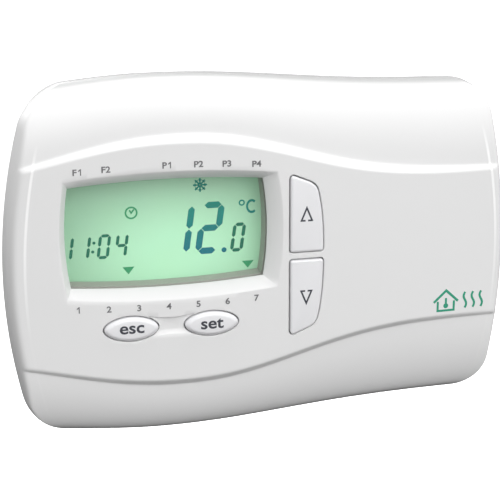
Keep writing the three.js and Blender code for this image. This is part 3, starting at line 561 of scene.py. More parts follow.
def tall_outline(left, up):
    """A tall key: straight beside the window, arched on the far side and slanted at its outer end."""
    w, h = TALL_WIDTH, TALL_HEIGHT
    corner, far, end = TALL_CORNER, TALL_FAR_CORNER, TALL_END_CORNER
    arch_end, bend, slant = ((w - x, h - z) for x, z in TALL_SHOULDER)
    points = [(corner, 0), (w - corner, 0)]
    points += curve((w - corner, 0), (w, 0), (w, far))
    points += curve((w, far), (w, h * 0.5), arch_end, 12)
    points += curve(arch_end, bend, slant)
    points += [(far, h)]
    points += curve((far, h), (0, h), (0, h - end))
    points += [(0, corner)]
    points += curve((0, corner), (0, 0), (corner, 0))[:-1]
    points = [(left + x, TALL_GAP / 2 + z) for x, z in points]
    return points if up else [(x, -z) for x, z in reversed(points)]


LENS_Z = centre("esc_switch").z
LENS_KEYS = {"esc": centre("esc_switch").x, "set": centre("set_switch").x}
TALL_LEFT = centre("up_switch").x - TALL_WIDTH / 2


def key_outline(name):
    if name in LENS_KEYS:
        return lens_outline(LENS_KEYS[name], LENS_Z)
    return tall_outline(TALL_LEFT, name == "up")


# ------------------------------------------------------------------ material tools

def add(tree, kind, inputs=None, **settings):
    """Adds a node with its settings. An input is set, or linked to a socket or to a node's first output."""
    made = tree.nodes.new("ShaderNode" + kind)
    for key, value in settings.items():
        setattr(made, key, value)
    for key, value in (inputs or {}).items():
        if isinstance(value, bpy.types.Node):
            value = next(socket for socket in value.outputs if socket.enabled)
        if isinstance(value, bpy.types.NodeSocket):
            tree.links.new(value, made.inputs[key])
        else:
            made.inputs[key].default_value = value
    return made


def new_material(name):
    """An empty material, its node tree, and the place on the object at which its patterns are read."""
    material = bpy.data.materials.new(name)
    material.use_nodes = True
    tree = material.node_tree
    tree.nodes.clear()
    return material, tree, add(tree, "TexCoord").outputs["Object"]


def per_mm(millimetres):
    """Texture scale for a pattern of that size."""
    return 1 / (millimetres * MM)


def shade(colour, factor):
    return tuple(min(c * factor, 1) for c in colour[:3]) + (1.0,)


def moulded(name, colour, roughness, grain=0.35, relief=0.04, drift=0.03):
    """Moulded plastic: a faint spark-eroded grain, slow drifts of tone and of gloss, and soft highlights."""
    material, tree, place = new_material(name)
    cloud = add(tree, "TexNoise", {"Vector": place, "Scale": per_mm(30), "Detail": 3.0, "Roughness": 0.55})
    tone = add(tree, "Mix", {"Factor": cloud, "A": shade(colour, 1 - drift), "B": shade(colour, 1 + drift)},
               data_type="RGBA")
    grit = add(tree, "TexNoise", {"Vector": place, "Scale": per_mm(grain), "Detail": 4.0, "Roughness": 0.6})
    gloss = add(tree, "MapRange", {"Value": grit, "From Min": 0.3, "From Max": 0.7,
                                   "To Min": roughness - 0.04, "To Max": roughness + 0.04})
    bump = add(tree, "Bump", {"Height": grit, "Strength": 0.5, "Distance": relief * MM})
    shader = add(tree, "BsdfPrincipled", {"Base Color": tone, "Roughness": gloss, "IOR": 1.53,
                                          "Normal": bump})
    add(tree, "OutputMaterial", {"Surface": shader})
    return material


def plated_metal(name, colour, streak):
    """Drawn and plated metal: fine streaks that stretch the highlights, and a slightly uneven gloss."""
    material, tree, place = new_material(name)
    stretched = add(tree, "Mapping", {"Vector": place, "Scale": (1.0, 8.0, 1.0)})
    streaks = add(tree, "TexNoise", {"Vector": stretched, "Scale": per_mm(streak), "Detail": 5.0})
    cloud = add(tree, "TexNoise", {"Vector": place, "Scale": per_mm(3), "Detail": 2.0})
    gloss = add(tree, "MapRange", {"Value": cloud, "To Min": 0.2, "To Max": 0.4})
    tone = add(tree, "Mix", {"Factor": streaks, "A": shade(colour, 0.85), "B": shade(colour, 1.1)},
               data_type="RGBA")
    bump = add(tree, "Bump", {"Height": streaks, "Strength": 0.3, "Distance": 0.02 * MM})
    shader = add(tree, "BsdfPrincipled", {"Base Color": tone, "Metallic": 1.0, "Roughness": gloss,
                                          "Normal": bump})
    add(tree, "OutputMaterial", {"Surface": shader})
    return material


# Painted highlight and painted shade on the cover: the colour that comes over it, and the ramps whose product
# says how much of it.
# A ramp gives its source, where it starts and ends, its value at both, and its kind. Places are in
# millimetres, and "level" is how squarely a face looks up or down
# The painted crease highlight runs this far in from the side edges, with its middle moved this far along x
CREASE_INSET = 4.75
CREASE_SHIFT = 0.6
COVER_PAINTED_LIGHT = (
    # A painted highlight along the creases at both ends of the panel, weaker further down
    (0xFDFDFD, (
        ("crease", 0.15, 0.5, 1.0, 0.0, "SMOOTHSTEP"),
        ("Y", -24.5, -23.5, 1.0, 0.0, "LINEAR"),
        ("Z", -18.0, 12.0, 0.05, 0.9, "LINEAR"),
        ("Z", 25.0, 33.0, 1.0, 0.0, "LINEAR"),
    )),
    # Painted shade along the rear edge, where the cover meets the wall
    (0x8A8A8D, (("Y", -7.0, -1.5, 0.0, 0.6, "SMOOTHSTEP"),)),
    # Painted shade on the top and the underside
    (0x919191, (("level", 0.45, 0.88, 0.0, 0.85, "SMOOTHSTEP"), ("Y", -22.2, -20.2, 0.0, 1.0, "LINEAR"))),
)


def cover_abs():
    """Satin ABS of the cover: soft white, with a painted highlight on its creases and painted shade at its
    rear edge, top and base.
    """
    material = moulded("satin_abs_cover", tuple(colours().cover), 0.42, grain=0.3, relief=0.02, drift=0.012)
    tree = material.node_tree
    shader = tree.nodes["Principled BSDF"]
    place = add(tree, "SeparateXYZ", {"Vector": add(tree, "TexCoord").outputs["Object"]})
    facing = add(tree, "SeparateXYZ", {"Vector": add(tree, "NewGeometry").outputs["Normal"]})
    shifted = add(tree, "Math", {0: place.outputs["X"], 1: CREASE_SHIFT * MM}, operation="SUBTRACT")
    across = add(tree, "Math", {0: shifted}, operation="ABSOLUTE")
    up = add(tree, "Math", {0: place.outputs["Z"], 1: SIDE_CENTRE_Z * MM}, operation="SUBTRACT")
    bowed = add(tree, "Math", {0: up, 1: up}, operation="MULTIPLY")
    outline = add(tree, "Math", {0: bowed, 1: 1 / (2 * SIDE_RADIUS[0] * MM), 2: across},
                  operation="MULTIPLY_ADD")
    off = add(tree, "Math", {0: outline, 1: (HALF_WIDTH - CREASE_INSET) * MM}, operation="SUBTRACT")
    sources = {
        "Y": place.outputs["Y"],
        "Z": place.outputs["Z"],
        "crease": add(tree, "Math", {0: off}, operation="ABSOLUTE"),
        "level": add(tree, "Math", {0: facing.outputs["Z"]}, operation="ABSOLUTE"),
    }
    tone = shader.inputs["Base Color"].links[0].from_socket
    # Lays the painted highlight and the painted shades over the cover's own tone
    for colour, ramps in COVER_PAINTED_LIGHT:
        amount = 1.0
        for source, start, end, first, last, kind in ramps:
            unit = 1 if source == "level" else MM
            ramp = add(tree, "MapRange", {"Value": sources[source], "From Min": start * unit,
                                          "From Max": end * unit, "To Min": first, "To Max": last},
                       interpolation_type=kind)
            amount = add(tree, "Math", {0: amount, 1: ramp}, operation="MULTIPLY")
        tone = add(tree, "Mix", {"Factor": amount, "A": tone, "B": linear(colour)}, data_type="RGBA")
    tree.links.new(tone.outputs[2], shader.inputs["Base Color"])
    return material


def clear_acrylic():
    """Polished acrylic of the window: nearly nothing but its reflections shows, and its tint is neutral."""
    material, tree, place = new_material("polished_acrylic_window")
    haze = add(tree, "TexNoise", {"Vector": place, "Scale": per_mm(12), "Detail": 2.0})
    gloss = add(tree, "MapRange", {"Value": haze, "To Min": 0.02, "To Max": 0.07})
    shader = add(tree, "BsdfPrincipled", {"Base Color": linear(0xE8F2EA), "Roughness": gloss, "IOR": 1.49,
                                          "Alpha": 0.02, "Specular IOR Level": 0.3})
    add(tree, "OutputMaterial", {"Surface": shader})
    return material


# Brightest spot of the display's gradient, from the window's middle, as a share of its half width and half
# height. The darkening away from it is partly uneven backlight and partly painted shade of the window's recess
BRIGHT_SPOT = (0.12, -0.5)


def display_glass():
    """Liquid-crystal glass lit from behind: brighter low and in the middle, and darker towards the top and
    sides, partly from uneven backlight and partly as painted shade of the recess, with a faint cloudy haze.
    """
    material, tree, place = new_material("lit_display_glass")
    half_x, half_z = (WINDOW_RIGHT - WINDOW_LEFT) / 2, (WINDOW_TOP - WINDOW_BOTTOM) / 2
    spot_x = (WINDOW_LEFT + WINDOW_RIGHT) / 2 + BRIGHT_SPOT[0] * half_x
    spot_z = (WINDOW_BOTTOM + WINDOW_TOP) / 2 + BRIGHT_SPOT[1] * half_z
    from_spot = add(tree, "Mapping", {"Vector": place, "Location": (-spot_x / half_x, 0, -spot_z / half_z),
                                      "Scale": (1 / (half_x * MM), 0.0, 1 / (half_z * MM))})
    reach = add(tree, "VectorMath", {"Vector": from_spot}, operation="LENGTH")
    spread = add(tree, "MapRange", {"Value": reach, "From Min": 0.15, "From Max": 1.75},
                 interpolation_type="SMOOTHSTEP")
    light = tuple(colours().display)
    # Partly painted shade of the recess: the display darkens away from its brightest spot
    tone = add(tree, "Mix", {"Factor": spread, "A": shade(light, 0.88), "B": shade(light, 0.5)},
               data_type="RGBA")
    mottle = add(tree, "TexNoise", {"Vector": place, "Scale": per_mm(9), "Detail": 2.0})
    lit = add(tree, "Mix", {"Factor": 0.04, "A": tone, "B": mottle.outputs["Color"]},
              data_type="RGBA", blend_type="SOFT_LIGHT")
    shader = add(tree, "BsdfPrincipled", {"Base Color": lit, "Roughness": 0.35, "Emission Color": lit,
                                          "Emission Strength": 0.42})
    add(tree, "OutputMaterial", {"Surface": shader})
    return material


def ink(name, colour):
    """Pad-printed ink: thin and matt, with a slightly uneven density along each stroke."""
    material, tree, place = new_material(name)
    density = add(tree, "TexNoise", {"Vector": place, "Scale": per_mm(0.6), "Detail": 3.0})
    tone = add(tree, "Mix", {"Factor": density, "A": shade(colour, 0.9), "B": shade(colour, 1.12)},
               data_type="RGBA")
    shader = add(tree, "BsdfPrincipled", {"Base Color": tone, "Roughness": 0.5})
    add(tree, "OutputMaterial", {"Surface": shader})
    return material


def segment_crystal(name, colour, blue_below):
    """Dark liquid-crystal segments of slightly uneven density. The large figures turn bluer downwards."""
    material, tree, place = new_material(name)
    density = add(tree, "TexNoise", {"Vector": place, "Scale": per_mm(7), "Detail": 1.0})
    tone = add(tree, "Mix", {"Factor": density, "A": shade(colour, 0.8), "B": shade(colour, 1.2)},
               data_type="RGBA")
    if blue_below:
        height = add(tree, "SeparateXYZ", {"Vector": place})
        low = add(tree, "MapRange", {"Value": height.outputs["Z"], "From Min": 13 * MM, "From Max": 0.0})
        tone = add(tree, "Mix", {"Factor": low, "A": tone, "B": linear(0x14707F)}, data_type="RGBA")
    shader = add(tree, "BsdfPrincipled", {"Base Color": tone, "Roughness": 0.4, "Specular IOR Level": 0.2,
                                          "Emission Color": tone, "Emission Strength": 0.12})
    add(tree, "OutputMaterial", {"Surface": shader})
    return material


def circuit_board():
    """Glass epoxy under green solder mask: fine woven glass, and copper tracks that show as lighter lines."""
    material, tree, place = new_material("solder_mask_on_glass_epoxy")
    weave = add(tree, "TexWave", {"Vector": place, "Scale": per_mm(3.2), "Distortion": 2.5, "Detail": 2.0},
                bands_direction="DIAGONAL")
    tracks = add(tree, "TexBrick", {"Vector": place, "Scale": per_mm(6), "Mortar Size": 0.03,
                                    "Color1": linear(0x1C5E3C), "Color2": linear(0x1F6843),
                                    "Mortar": linear(0x2F8157)})
    tone = add(tree, "Mix", {"Factor": weave.outputs["Fac"], "A": tracks, "B": linear(0x174F33)},
               data_type="RGBA")
    bump = add(tree, "Bump", {"Height": tracks.outputs["Fac"], "Strength": 0.4, "Distance": 0.03 * MM})
    shader = add(tree, "BsdfPrincipled", {"Base Color": tone, "Roughness": 0.3, "Normal": bump})
    add(tree, "OutputMaterial", {"Surface": shader})
    return material


def contact_rubber():
    """Silicone contact strip: thin black and pale layers, drawn coarser than they are so that they show."""
    material, tree, place = new_material("striped_contact_silicone")
    stripes = add(tree, "TexWave", {"Vector": place, "Scale": per_mm(3.2)}, bands_direction="X")
    tone = add(tree, "Mix", {"Factor": stripes.outputs["Fac"], "A": linear(0x2A2B2E), "B": linear(0x6E7075)},
               data_type="RGBA")
    shader = add(tree, "BsdfPrincipled", {"Base Color": tone, "Roughness": 0.8})
    add(tree, "OutputMaterial", {"Surface": shader})
    return material


def cell_film():
    """Printed shrink film on a dry cell: a dark body and a lighter band at one end, with a soft gloss."""
    material, tree, place = new_material("printed_film_on_cell")
    along = add(tree, "SeparateXYZ", {"Vector": place})
    band = add(tree, "MapRange", {"Value": along.outputs["X"], "From Min": -8.2 * MM, "From Max": -8.0 * MM})
    tone = add(tree, "Mix", {"Factor": band, "A": linear(0x2F5F9E), "B": linear(0xC9CDD2)}, data_type="RGBA")
    shader = add(tree, "BsdfPrincipled", {"Base Color": tone, "Roughness": 0.28, "Metallic": 0.3})
    add(tree, "OutputMaterial", {"Surface": shader})
    return material


def slot_materials():
    """The finish of each of the record's material slots."""
    return {
        "cover_plastic": cover_abs(),
        # Moulded ABS, a little smoother and cooler than the cover
        "key_plastic": moulded("satin_abs_keys", tuple(colours().keys), 0.34,
                               grain=0.3, relief=0.015, drift=0.01),
        # Moulded ABS that is left rougher than the front
        "base_plastic": moulded("plain_abs_base", linear(0xDEDEDC), 0.5, grain=0.5, relief=0.06),
        # Grey ABS with a dull eroded surface that hides reflections
        "frame_plastic": moulded("eroded_abs_frame", linear(0xACA9A4), 0.6, grain=0.4),
        "clear_window": clear_acrylic(),
        "display_glass": display_glass(),
        # Cast pieces: smooth and glossy, with hardly any grain
        "guide_plastic": moulded("milky_acrylic_guide", linear(0xF0F5EE), 0.25, grain=0.8),
        "led": moulded("cast_epoxy_led", linear(0xF6F1CF), 0.2, grain=0.6),
        "sensor_epoxy": moulded("dipped_epoxy_sensor", linear(0x202124), 0.25, grain=0.7, drift=0.1),
        "contact_rubber": contact_rubber(),
        "circuit_board": circuit_board(),
        # Moulded nylon: duller, with a grain that shows, and uneven where it is dark
        "black_plastic": moulded("black_nylon", linear(0x1C1D1F), 0.5, grain=0.4, relief=0.06, drift=0.1),
        "terminal_plastic": moulded("grey_nylon_terminals", linear(0x3B464C), 0.45, grain=0.4, relief=0.06),
        "relay_plastic": moulded("white_nylon_relay", linear(0xD6D8D2), 0.4, grain=0.5),
        "plunger_plastic": moulded("natural_nylon_plunger", linear(0xC9C9C5), 0.45, grain=0.5),
        # A shrunk sleeve: glossy, with slow shifts of tone
        "capacitor_can": moulded("pvc_sleeve_capacitor", linear(0x22304F), 0.3, grain=1.0, drift=0.08),
        "plated_steel": plated_metal("nickel_plated_steel", linear(0xC4C4C6), 0.25),
        "brass": plated_metal("drawn_brass", linear(0xCBA35A), 0.3),
        "cell_jacket": cell_film(),
    }


MATERIALS = {}


# ------------------------------------------------------------------ pieces of the front

# Cutters start this far behind what they cut, and end this far in front of it
CUT_BEHIND = {"window": 4, "key": 8}
CUT_BEFORE = 2
# How far outside its lip a cutter leaves the panel, and how far it rises there
WINDOW_FLARE = (0.6, 0.25)
KEY_FLARE = (0.25, 0.12)
HOLLOW_FLARE = (0.25, 0.1)


def last_rings(outline, rise):
    """The end of a cutter: just in front of the panel's face, then clear of it."""
    return [ring(outline, lambda x: panel_depth(x) + rise), ring(outline, PANEL_DEPTH + CUT_BEFORE)]


def window_cutter():
    """The window's opening, its chamfer and the rounded lip where the chamfer meets the panel."""
    lip = sizes().edge_round / MM
    slope = 1 - lip * 0.7 / CHAMFER["depth"]
    chamfer_floor = PANEL_DEPTH - CHAMFER["depth"]
    flare, rise = WINDOW_FLARE
    return drawn_out("window_cutter", [
        ring(window_outline(0), RIM_BACK - CUT_BEHIND["window"]),
        ring(window_outline(0), chamfer_floor - FOOT_BEHIND),
        ring(window_outline(FOOT_SHARE), chamfer_floor + FOOT_BEFORE),
        ring(window_outline(slope), lambda x: chamfer_floor + (panel_depth(x) - chamfer_floor) * slope),
        ring(window_outline(1, LIP_OUT), lambda x: panel_depth(x) - LIP_UNDER),
        ring(window_outline(1, lip), panel_depth),
    ] + last_rings(window_outline(1, lip + flare), rise))


def key_cutter(outline):
    """The opening for one key, with a rounded lip at the panel's face."""
    lip = sizes().edge_round / MM
    hole = grown(outline, KEY_CLEARANCE)
    flare, rise = KEY_FLARE
    rings = [ring(hole, PANEL_DEPTH - CUT_BEHIND["key"])]
    for degrees in (0, 30, 60, 90):
        turn = math.radians(degrees)
        rings.append(ring(grown(hole, lip * (1 - math.cos(turn))),
                          lambda x, turn=turn: panel_depth(x) - lip * (1 - math.sin(turn))))
    return drawn_out("key_cutter", rings + last_rings(grown(hole, lip + flare), rise))


# The hollow between the lens keys: its ends under them, its edges from their middle, and how those arch
HOLLOW_END = 2.4
HOLLOW_UPPER = 3.2
HOLLOW_LOWER = -2.6
HOLLOW_SAG = 0.75
HOLLOW_RISE = 0.5
# Its wall from the floor out: how far in from the upper and the lower edge, and the share of its depth there
HOLLOW_WALL = ((0.5, 1.3, 1.0), (0.3, 1.0, 0.92), (0.12, 0.25, 0.3), (0.0, 0.0, 0.05))


def hollow_cutter():
    """The shallow hollow between the lens keys: steep under its upper edge, sloping out at its lower edge."""
    deep = sizes().hollow_depth / MM
    left = LENS_KEYS["esc"] + LENS_LENGTH / 2 - HOLLOW_END
    right = LENS_KEYS["set"] - LENS_LENGTH / 2 + HOLLOW_END
    steps = 14

    def edge(height, arch):
        return [(left + (right - left) * i / steps, LENS_Z + height + arch * math.sin(math.pi * i / steps))
                for i in range(steps + 1)]

    def outline(upper, lower):
        return edge(HOLLOW_LOWER + lower, HOLLOW_RISE) + edge(HOLLOW_UPPER - upper, -HOLLOW_SAG)[::-1]

    rings = [ring(outline(upper, lower), lambda x, share=share: panel_depth(x) - deep * share)
             for upper, lower, share in HOLLOW_WALL]
    flare, rise = HOLLOW_FLARE
    return drawn_out("hollow_cutter", rings + last_rings(outline(-flare, -flare), rise))


# Notches across the rear rim at its upper left corner, which take a flat blade when the front is pulled off
CORNER_NOTCHES = ((-58.2, 42.8), (-61.3, 39.9))
NOTCH_SIZE = (5.0, 8.4, 1.5)
NOTCH_TURN = -47


def build_cover():
    """The cover: two skins joined at the rear rim, a rim behind the window, and all its openings."""
    outer = skin("front_shell", 0.0)
    inner = skin("inner_shell", sizes().cover_wall / MM)
    select_only(inner)
    bpy.ops.object.mode_set(mode="EDIT")
    bpy.ops.mesh.select_all(action="SELECT")
    bpy.ops.mesh.flip_normals()
    cover = joined("front_shell", [outer, inner])
    bpy.ops.object.mode_set(mode="EDIT")
    bpy.ops.mesh.select_mode(type="EDGE")
    bpy.ops.mesh.select_all(action="DESELECT")
    bpy.ops.mesh.select_non_manifold(extend=False, use_wire=False, use_multi_face=False,
                                     use_non_contiguous=False, use_verts=False)
    bpy.ops.mesh.bridge_edge_loops()
    bpy.ops.object.mode_set(mode="OBJECT")
    rim = [ring(window_outline(RIM_SHARE), depth) for depth in (RIM_BACK, RIM_FRONT)]
    combine(cover, drawn_out("window_rim", rim), "UNION")
    combine(cover, window_cutter(), "DIFFERENCE")
    combine(cover, hollow_cutter(), "DIFFERENCE")
    for name in ("esc", "set", "up", "down"):
        combine(cover, key_cutter(key_outline(name)), "DIFFERENCE")
    for x, z in CORNER_NOTCHES:
        notch = block("notch_cutter", at(x, 0, z), [side * MM for side in NOTCH_SIZE], 0.5, 3, NOTCH_TURN)
        combine(cover, notch, "DIFFERENCE")
    smooth(cover)
    finish(cover, "cover_plastic", replaces=["front_cover"])


# Side, border and face of a key: how far each ring is drawn in (a lens key's length and height, a tall
# key's outline), and its depth under the face
LENS_PROFILE = (
    (0.0, 0.0, 0.85), (0.08, 0.06, 0.68), (0.32, 0.24, 0.54), (1.75, 1.4, 0.14), (2.15, 1.75, 0.07),
    (3.1, 2.3, 0.045), (6.5, 3.9, 0.012), (10.0, 5.2, 0.0),
)
TALL_PROFILE = ((0.0, 0.5), (0.03, 0.34), (0.12, 0.2), (0.26, 0.09), (0.42, 0.025), (0.58, 0.0))
LENS_FLANGE = 1.0
TALL_FLANGE = 0.6


def build_lens_key(name):
    """A lens key, with a sloped border round a gently domed face."""
    x = LENS_KEYS[name]
    profile = [(lens_outline(x, LENS_Z, LENS_LENGTH - shorter, LENS_HEIGHT - lower), under)
               for shorter, lower, under in LENS_PROFILE]
    build_key(name, "_lens_cap", x, LENS_Z, sizes().lens_key_proud, LENS_FLANGE, profile)


def build_tall_key(name):
    """A tall key, with a rounded edge round a flat face."""
    outline = key_outline(name)
    profile = [(grown(outline, -inset), under) for inset, under in TALL_PROFILE]
    build_key(name, "_tall_cap", TALL_LEFT + TALL_WIDTH / 2, centre(name + "_switch").z,
              sizes().tall_key_proud, TALL_FLANGE, profile)


def build_key(name, kind, x, z, proud, flange, profile):
    """A key from back to front: the stem on its switch, a flange behind the panel, its side and its face."""
    face = panel_depth(x) + proud / MM
    outline = profile[0][0]
    brim = grown(outline, KEY_CLEARANCE + flange)
    flange_front = panel_depth(x) - sizes().cover_wall / MM - FLANGE_GAP
    flange_back = flange_front - FLANGE_THICKNESS
    rings = [ring(brim, flange_back), ring(brim, flange_front), ring(outline, flange_front)]
    rings += [ring(border, face - under) for border, under in profile]
    key = drawn_out(name + kind, rings)
    stem_back = -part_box(name + "_plunger")[0].y / MM + STEM_OVERLAP
    length = flange_back + STEM_OVERLAP - stem_back
    stem_size = (STEM_SIDE * MM, length * MM, STEM_SIDE * MM)
    combine(key, block("stem", at(x, stem_back + length / 2, z), stem_size, 0.3, 2), "UNION")
    smooth(key, 28)
    finish(key, "key_plastic", replaces=[name + "_key"], body=name + "_key")


# ------------------------------------------------------------------ display

# Figures of the display: sizes of their bars, then each one with the place of its right side. Places are
# in millimetres from the middle of the display
LEAN = math.tan(math.radians(8.4))
DIGIT_BARS = {"0": "abcdef", "1": "bc", "2": "abged", "4": "fgbc"}
TIME_BARS = {"middle": -4.5, "width": 2.4, "height": 5.9, "stroke": 0.82, "cut": 0.08}
TENTHS_BARS = {"middle": -4.3, "width": 2.6, "height": 7.1, "stroke": 0.95, "cut": 0.1}
DEGREES_BARS = {"middle": -1.2, "width": 4.8, "height": 12.6, "stroke": 1.75, "cut": 0.1}
TIME = (("1", -24.5), ("1", -20.0), ("0", -14.75), ("4", -10.05))
TENTHS = (("0", 21.7),)
DEGREES = (("1", 7.0), ("2", 15.1))
COLON = ((-18.55, -3.35), (-18.95, -5.75))
COLON_RADIUS = 0.42
POINT = (16.5, -7.6)
POINT_RADIUS = 0.7
DEGREE_SIGN = {"x": 21.5, "z": 5.2, "radius": 0.66, "stroke": 0.4}
CELSIUS = {"x": 24.25, "z": 4.1, "radius": 1.3, "stroke": 0.55, "start": 48, "end": 312, "stretch": 1.25}
CLOCK = {"x": -8.45, "z": 4.25, "radius": 1.5, "stroke": 0.45}
CLOCK_HANDS = ((-8.9, 5.0), (-8.45, 4.2), (-7.7, 5.15))
CLOCK_HAND_STROKE = 0.42
POINTERS = (
    ((-11.2, -10.55), (-9.65, -12.6), (-8.0, -10.55)),
    ((21.4, -11.1), (23.05, -13.1), (24.7, -11.1)),
)
SNOWFLAKE = Vector((10.15, 10.75))
# Each stroke of one arm: where it starts and ends, along the arm and across it, and its width
SNOWFLAKE_ARM = (((0.12, 0.0), (1.9, 0.0), 0.42), ((1.35, 0.42), (1.35, -0.46), 0.32))


def digit(character, right, middle, width, height, stroke, cut):
    """The bars of a leaning seven-bar digit, given its right bar's place at mid height."""
    left = right - width
    corners = {
        "a": ((left, 1), (right, 1)), "b": ((right, 1), (right, 0)), "c": ((right, 0), (right, -1)),
        "d": ((left, -1), (right, -1)), "e": ((left, 0), (left, -1)), "f": ((left, 1), (left, 0)),
        "g": ((left, 0), (right, 0)),
    }
    half = stroke / 2
    bars = []
    for bar in DIGIT_BARS[character]:
        start, end = (Vector((x, z * height / 2)) for x, z in corners[bar])
        along = (end - start).normalized()
        across = Vector((-along.y, along.x)) * half
        start, end = start + along * cut, end - along * cut
        points = [start, start + along * half - across, end - along * half - across,
                  end, end - along * half + across, start + along * half + across]
        bars.append([(p.x + p.y * LEAN, middle + p.y) for p in points])
    return bars


def disc(x, z, radius, sides=20):
    turns = [2 * math.pi * i / sides for i in range(sides)]
    return [(x + radius * math.cos(turn), z + radius * math.sin(turn)) for turn in turns]


def arc_band(x, z, radius, stroke, start, end, steps=14, stretch=1.0):
    """Part of a ring between two angles in degrees."""
    outer, inner = [], []
    for i in range(steps + 1):
        angle = math.radians(start + (end - start) * i / steps)
        for points, r in ((outer, radius + stroke / 2), (inner, radius - stroke / 2)):
            points.append((x + r * math.cos(angle), z + r * stretch * math.sin(angle)))
    return outer + inner[::-1]


def ring_band(**band):
    """A whole ring, in two halves."""
    return [arc_band(start=start, end=start + 180, **band) for start in (0, 180)]


def stroke_line(points, width):
    """A line of even width through points, with mitred corners."""
    sides = ([], [])
    for i, (x, z) in enumerate(points):
        here = Vector((x, z))
        before = (here - Vector(points[i - 1])).normalized() if i else None
        after = (Vector(points[i + 1]) - here).normalized() if i + 1 < len(points) else None
        along = ((before or after) + (after or before)).normalized()
        across = Vector((-along.y, along.x))
        straight = after or before
        reach = width / 2 / max(across.dot(Vector((-straight.y, straight.x))), 0.3)
        for side, sign in zip(sides, (1, -1)):
            side.append(tuple(here + across * reach * sign))
    return sides[0] + sides[1][::-1]


def snowflake():
    """The strokes of eight arms, each with a short bar across it."""
    strokes = []
    for arm in range(8):
        angle = math.radians(45 * arm)
        way = Vector((math.cos(angle), math.sin(angle)))
        side = Vector((-way.y, way.x))
        for start, end, width in SNOWFLAKE_ARM:
            ends = [tuple(SNOWFLAKE + way * along + side * across) for along, across in (start, end)]
            strokes.append(stroke_line(ends, width))
    return strokes


def build_display():
    """The display's glass, and its figures and symbols as thin raised shapes on it."""
    low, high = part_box("lcd_glass")
    glass = block("display_glass_sheets", (low + high) / 2, high - low, 0.12, 2)
    smooth(glass)
    finish(glass, "display_glass", replaces=["lcd_glass"])
    small = [disc(x, z, COLON_RADIUS) for x, z in COLON]
    large = [disc(*POINT, POINT_RADIUS), arc_band(**CELSIUS)] + ring_band(**DEGREE_SIGN) + snowflake()
    for shapes, figures, bars in ((small, TIME, TIME_BARS), (small, TENTHS, TENTHS_BARS),
                                  (large, DEGREES, DEGREES_BARS)):
        for character, right in figures:
            shapes += digit(character, right, **bars)
    symbols = ring_band(**CLOCK) + [stroke_line(CLOCK_HANDS, CLOCK_HAND_STROKE), *POINTERS]
    middle = centre("lcd_glass")
    for name, shapes, colour in (
        ("small_segments", small, colours().small_digits),
        ("large_segments", large, colours().large_digits),
        ("display_symbols", symbols, colours().symbols),
    ):
        piece = flat_shapes(name, placed(shapes, middle.x, middle.z), -GLASS_LOW.y + PRINT_GAP)
        crystal = segment_crystal(name + "_liquid_crystal", tuple(colour), name == "large_segments")
        finish(piece, "display_glass", crystal)


# ------------------------------------------------------------------ markings

LABEL_PRINT = {"size": 2.25, "weight": 0.055, "stretch": 1.12}
DAY_PRINT = {"size": 2.35, "weight": 0.05, "stretch": 1.1}
KEY_PRINT = {"size": 4.5, "weight": 0.09, "stretch": 1.14}
# How far of its thickness a flat print stands out of its face
PRINT_SUNK = 0.4
# Labels from the middle of the display. Their rows arch: the upper falls by 1 mm at its reach to both sides
PROGRAMME_LABELS = (("F1", -23.1), ("F2", -15.8), ("P1", -0.2), ("P2", 8.0), ("P3", 15.4), ("P4", 23.3))
PROGRAMME_Z = 18.7
PROGRAMME_REACH = 26
LETTER_SHIFT = -0.6
FIGURE_SHIFT = 0.75
DAY_PITCH = 7.88
DAY_X = -0.5
DAY_Z = -19.15
DAY_ARCH = 0.55
# Height of a bold figure 1 in each row, and the width of its stem as a share of that
PROGRAMME_FIGURE = 1.68
DAY_FIGURE = 1.75
STEM_SHARE = 0.17


def lettering(name, text, x, z, depth, size, weight, stretch):
    """Printed characters, centred on a point of the front."""
    deselect()
    bpy.ops.object.text_add()
    piece = named(name)
    piece.data.body = text
    piece.data.size = size * MM
    piece.data.offset = weight * MM
    piece.data.extrude = sizes().print_thickness / 2
    piece.data.resolution_u = 4
    bpy.ops.object.convert(target="MESH")
    corners = [vertex.co for vertex in piece.data.vertices]
    middle = [(min(c[k] for c in corners) + max(c[k] for c in corners)) / 2 for k in range(3)]
    for vertex in piece.data.vertices:
        vertex.co -= Vector(middle)
    piece.rotation_euler = (math.pi / 2, 0, 0)
    piece.scale = (stretch, 1, 1)
    piece.location = at(x, depth, z)
    bpy.ops.object.transform_apply()
    return piece


def figure_one(x, z, depth, height):
    """A bold figure 1 with its flag."""
    half = height / 2
    stem = STEM_SHARE * height
    outline = [(0, -half), (stem, -half), (stem, half), (stem * 0.25, half), (-stem * 1.5, half - stem * 1.4),
               (-stem * 1.5, half - stem * 2.5), (0, half - stem * 1.6)]
    return flat_shapes("label", placed([outline[::-1]], x, z), depth)


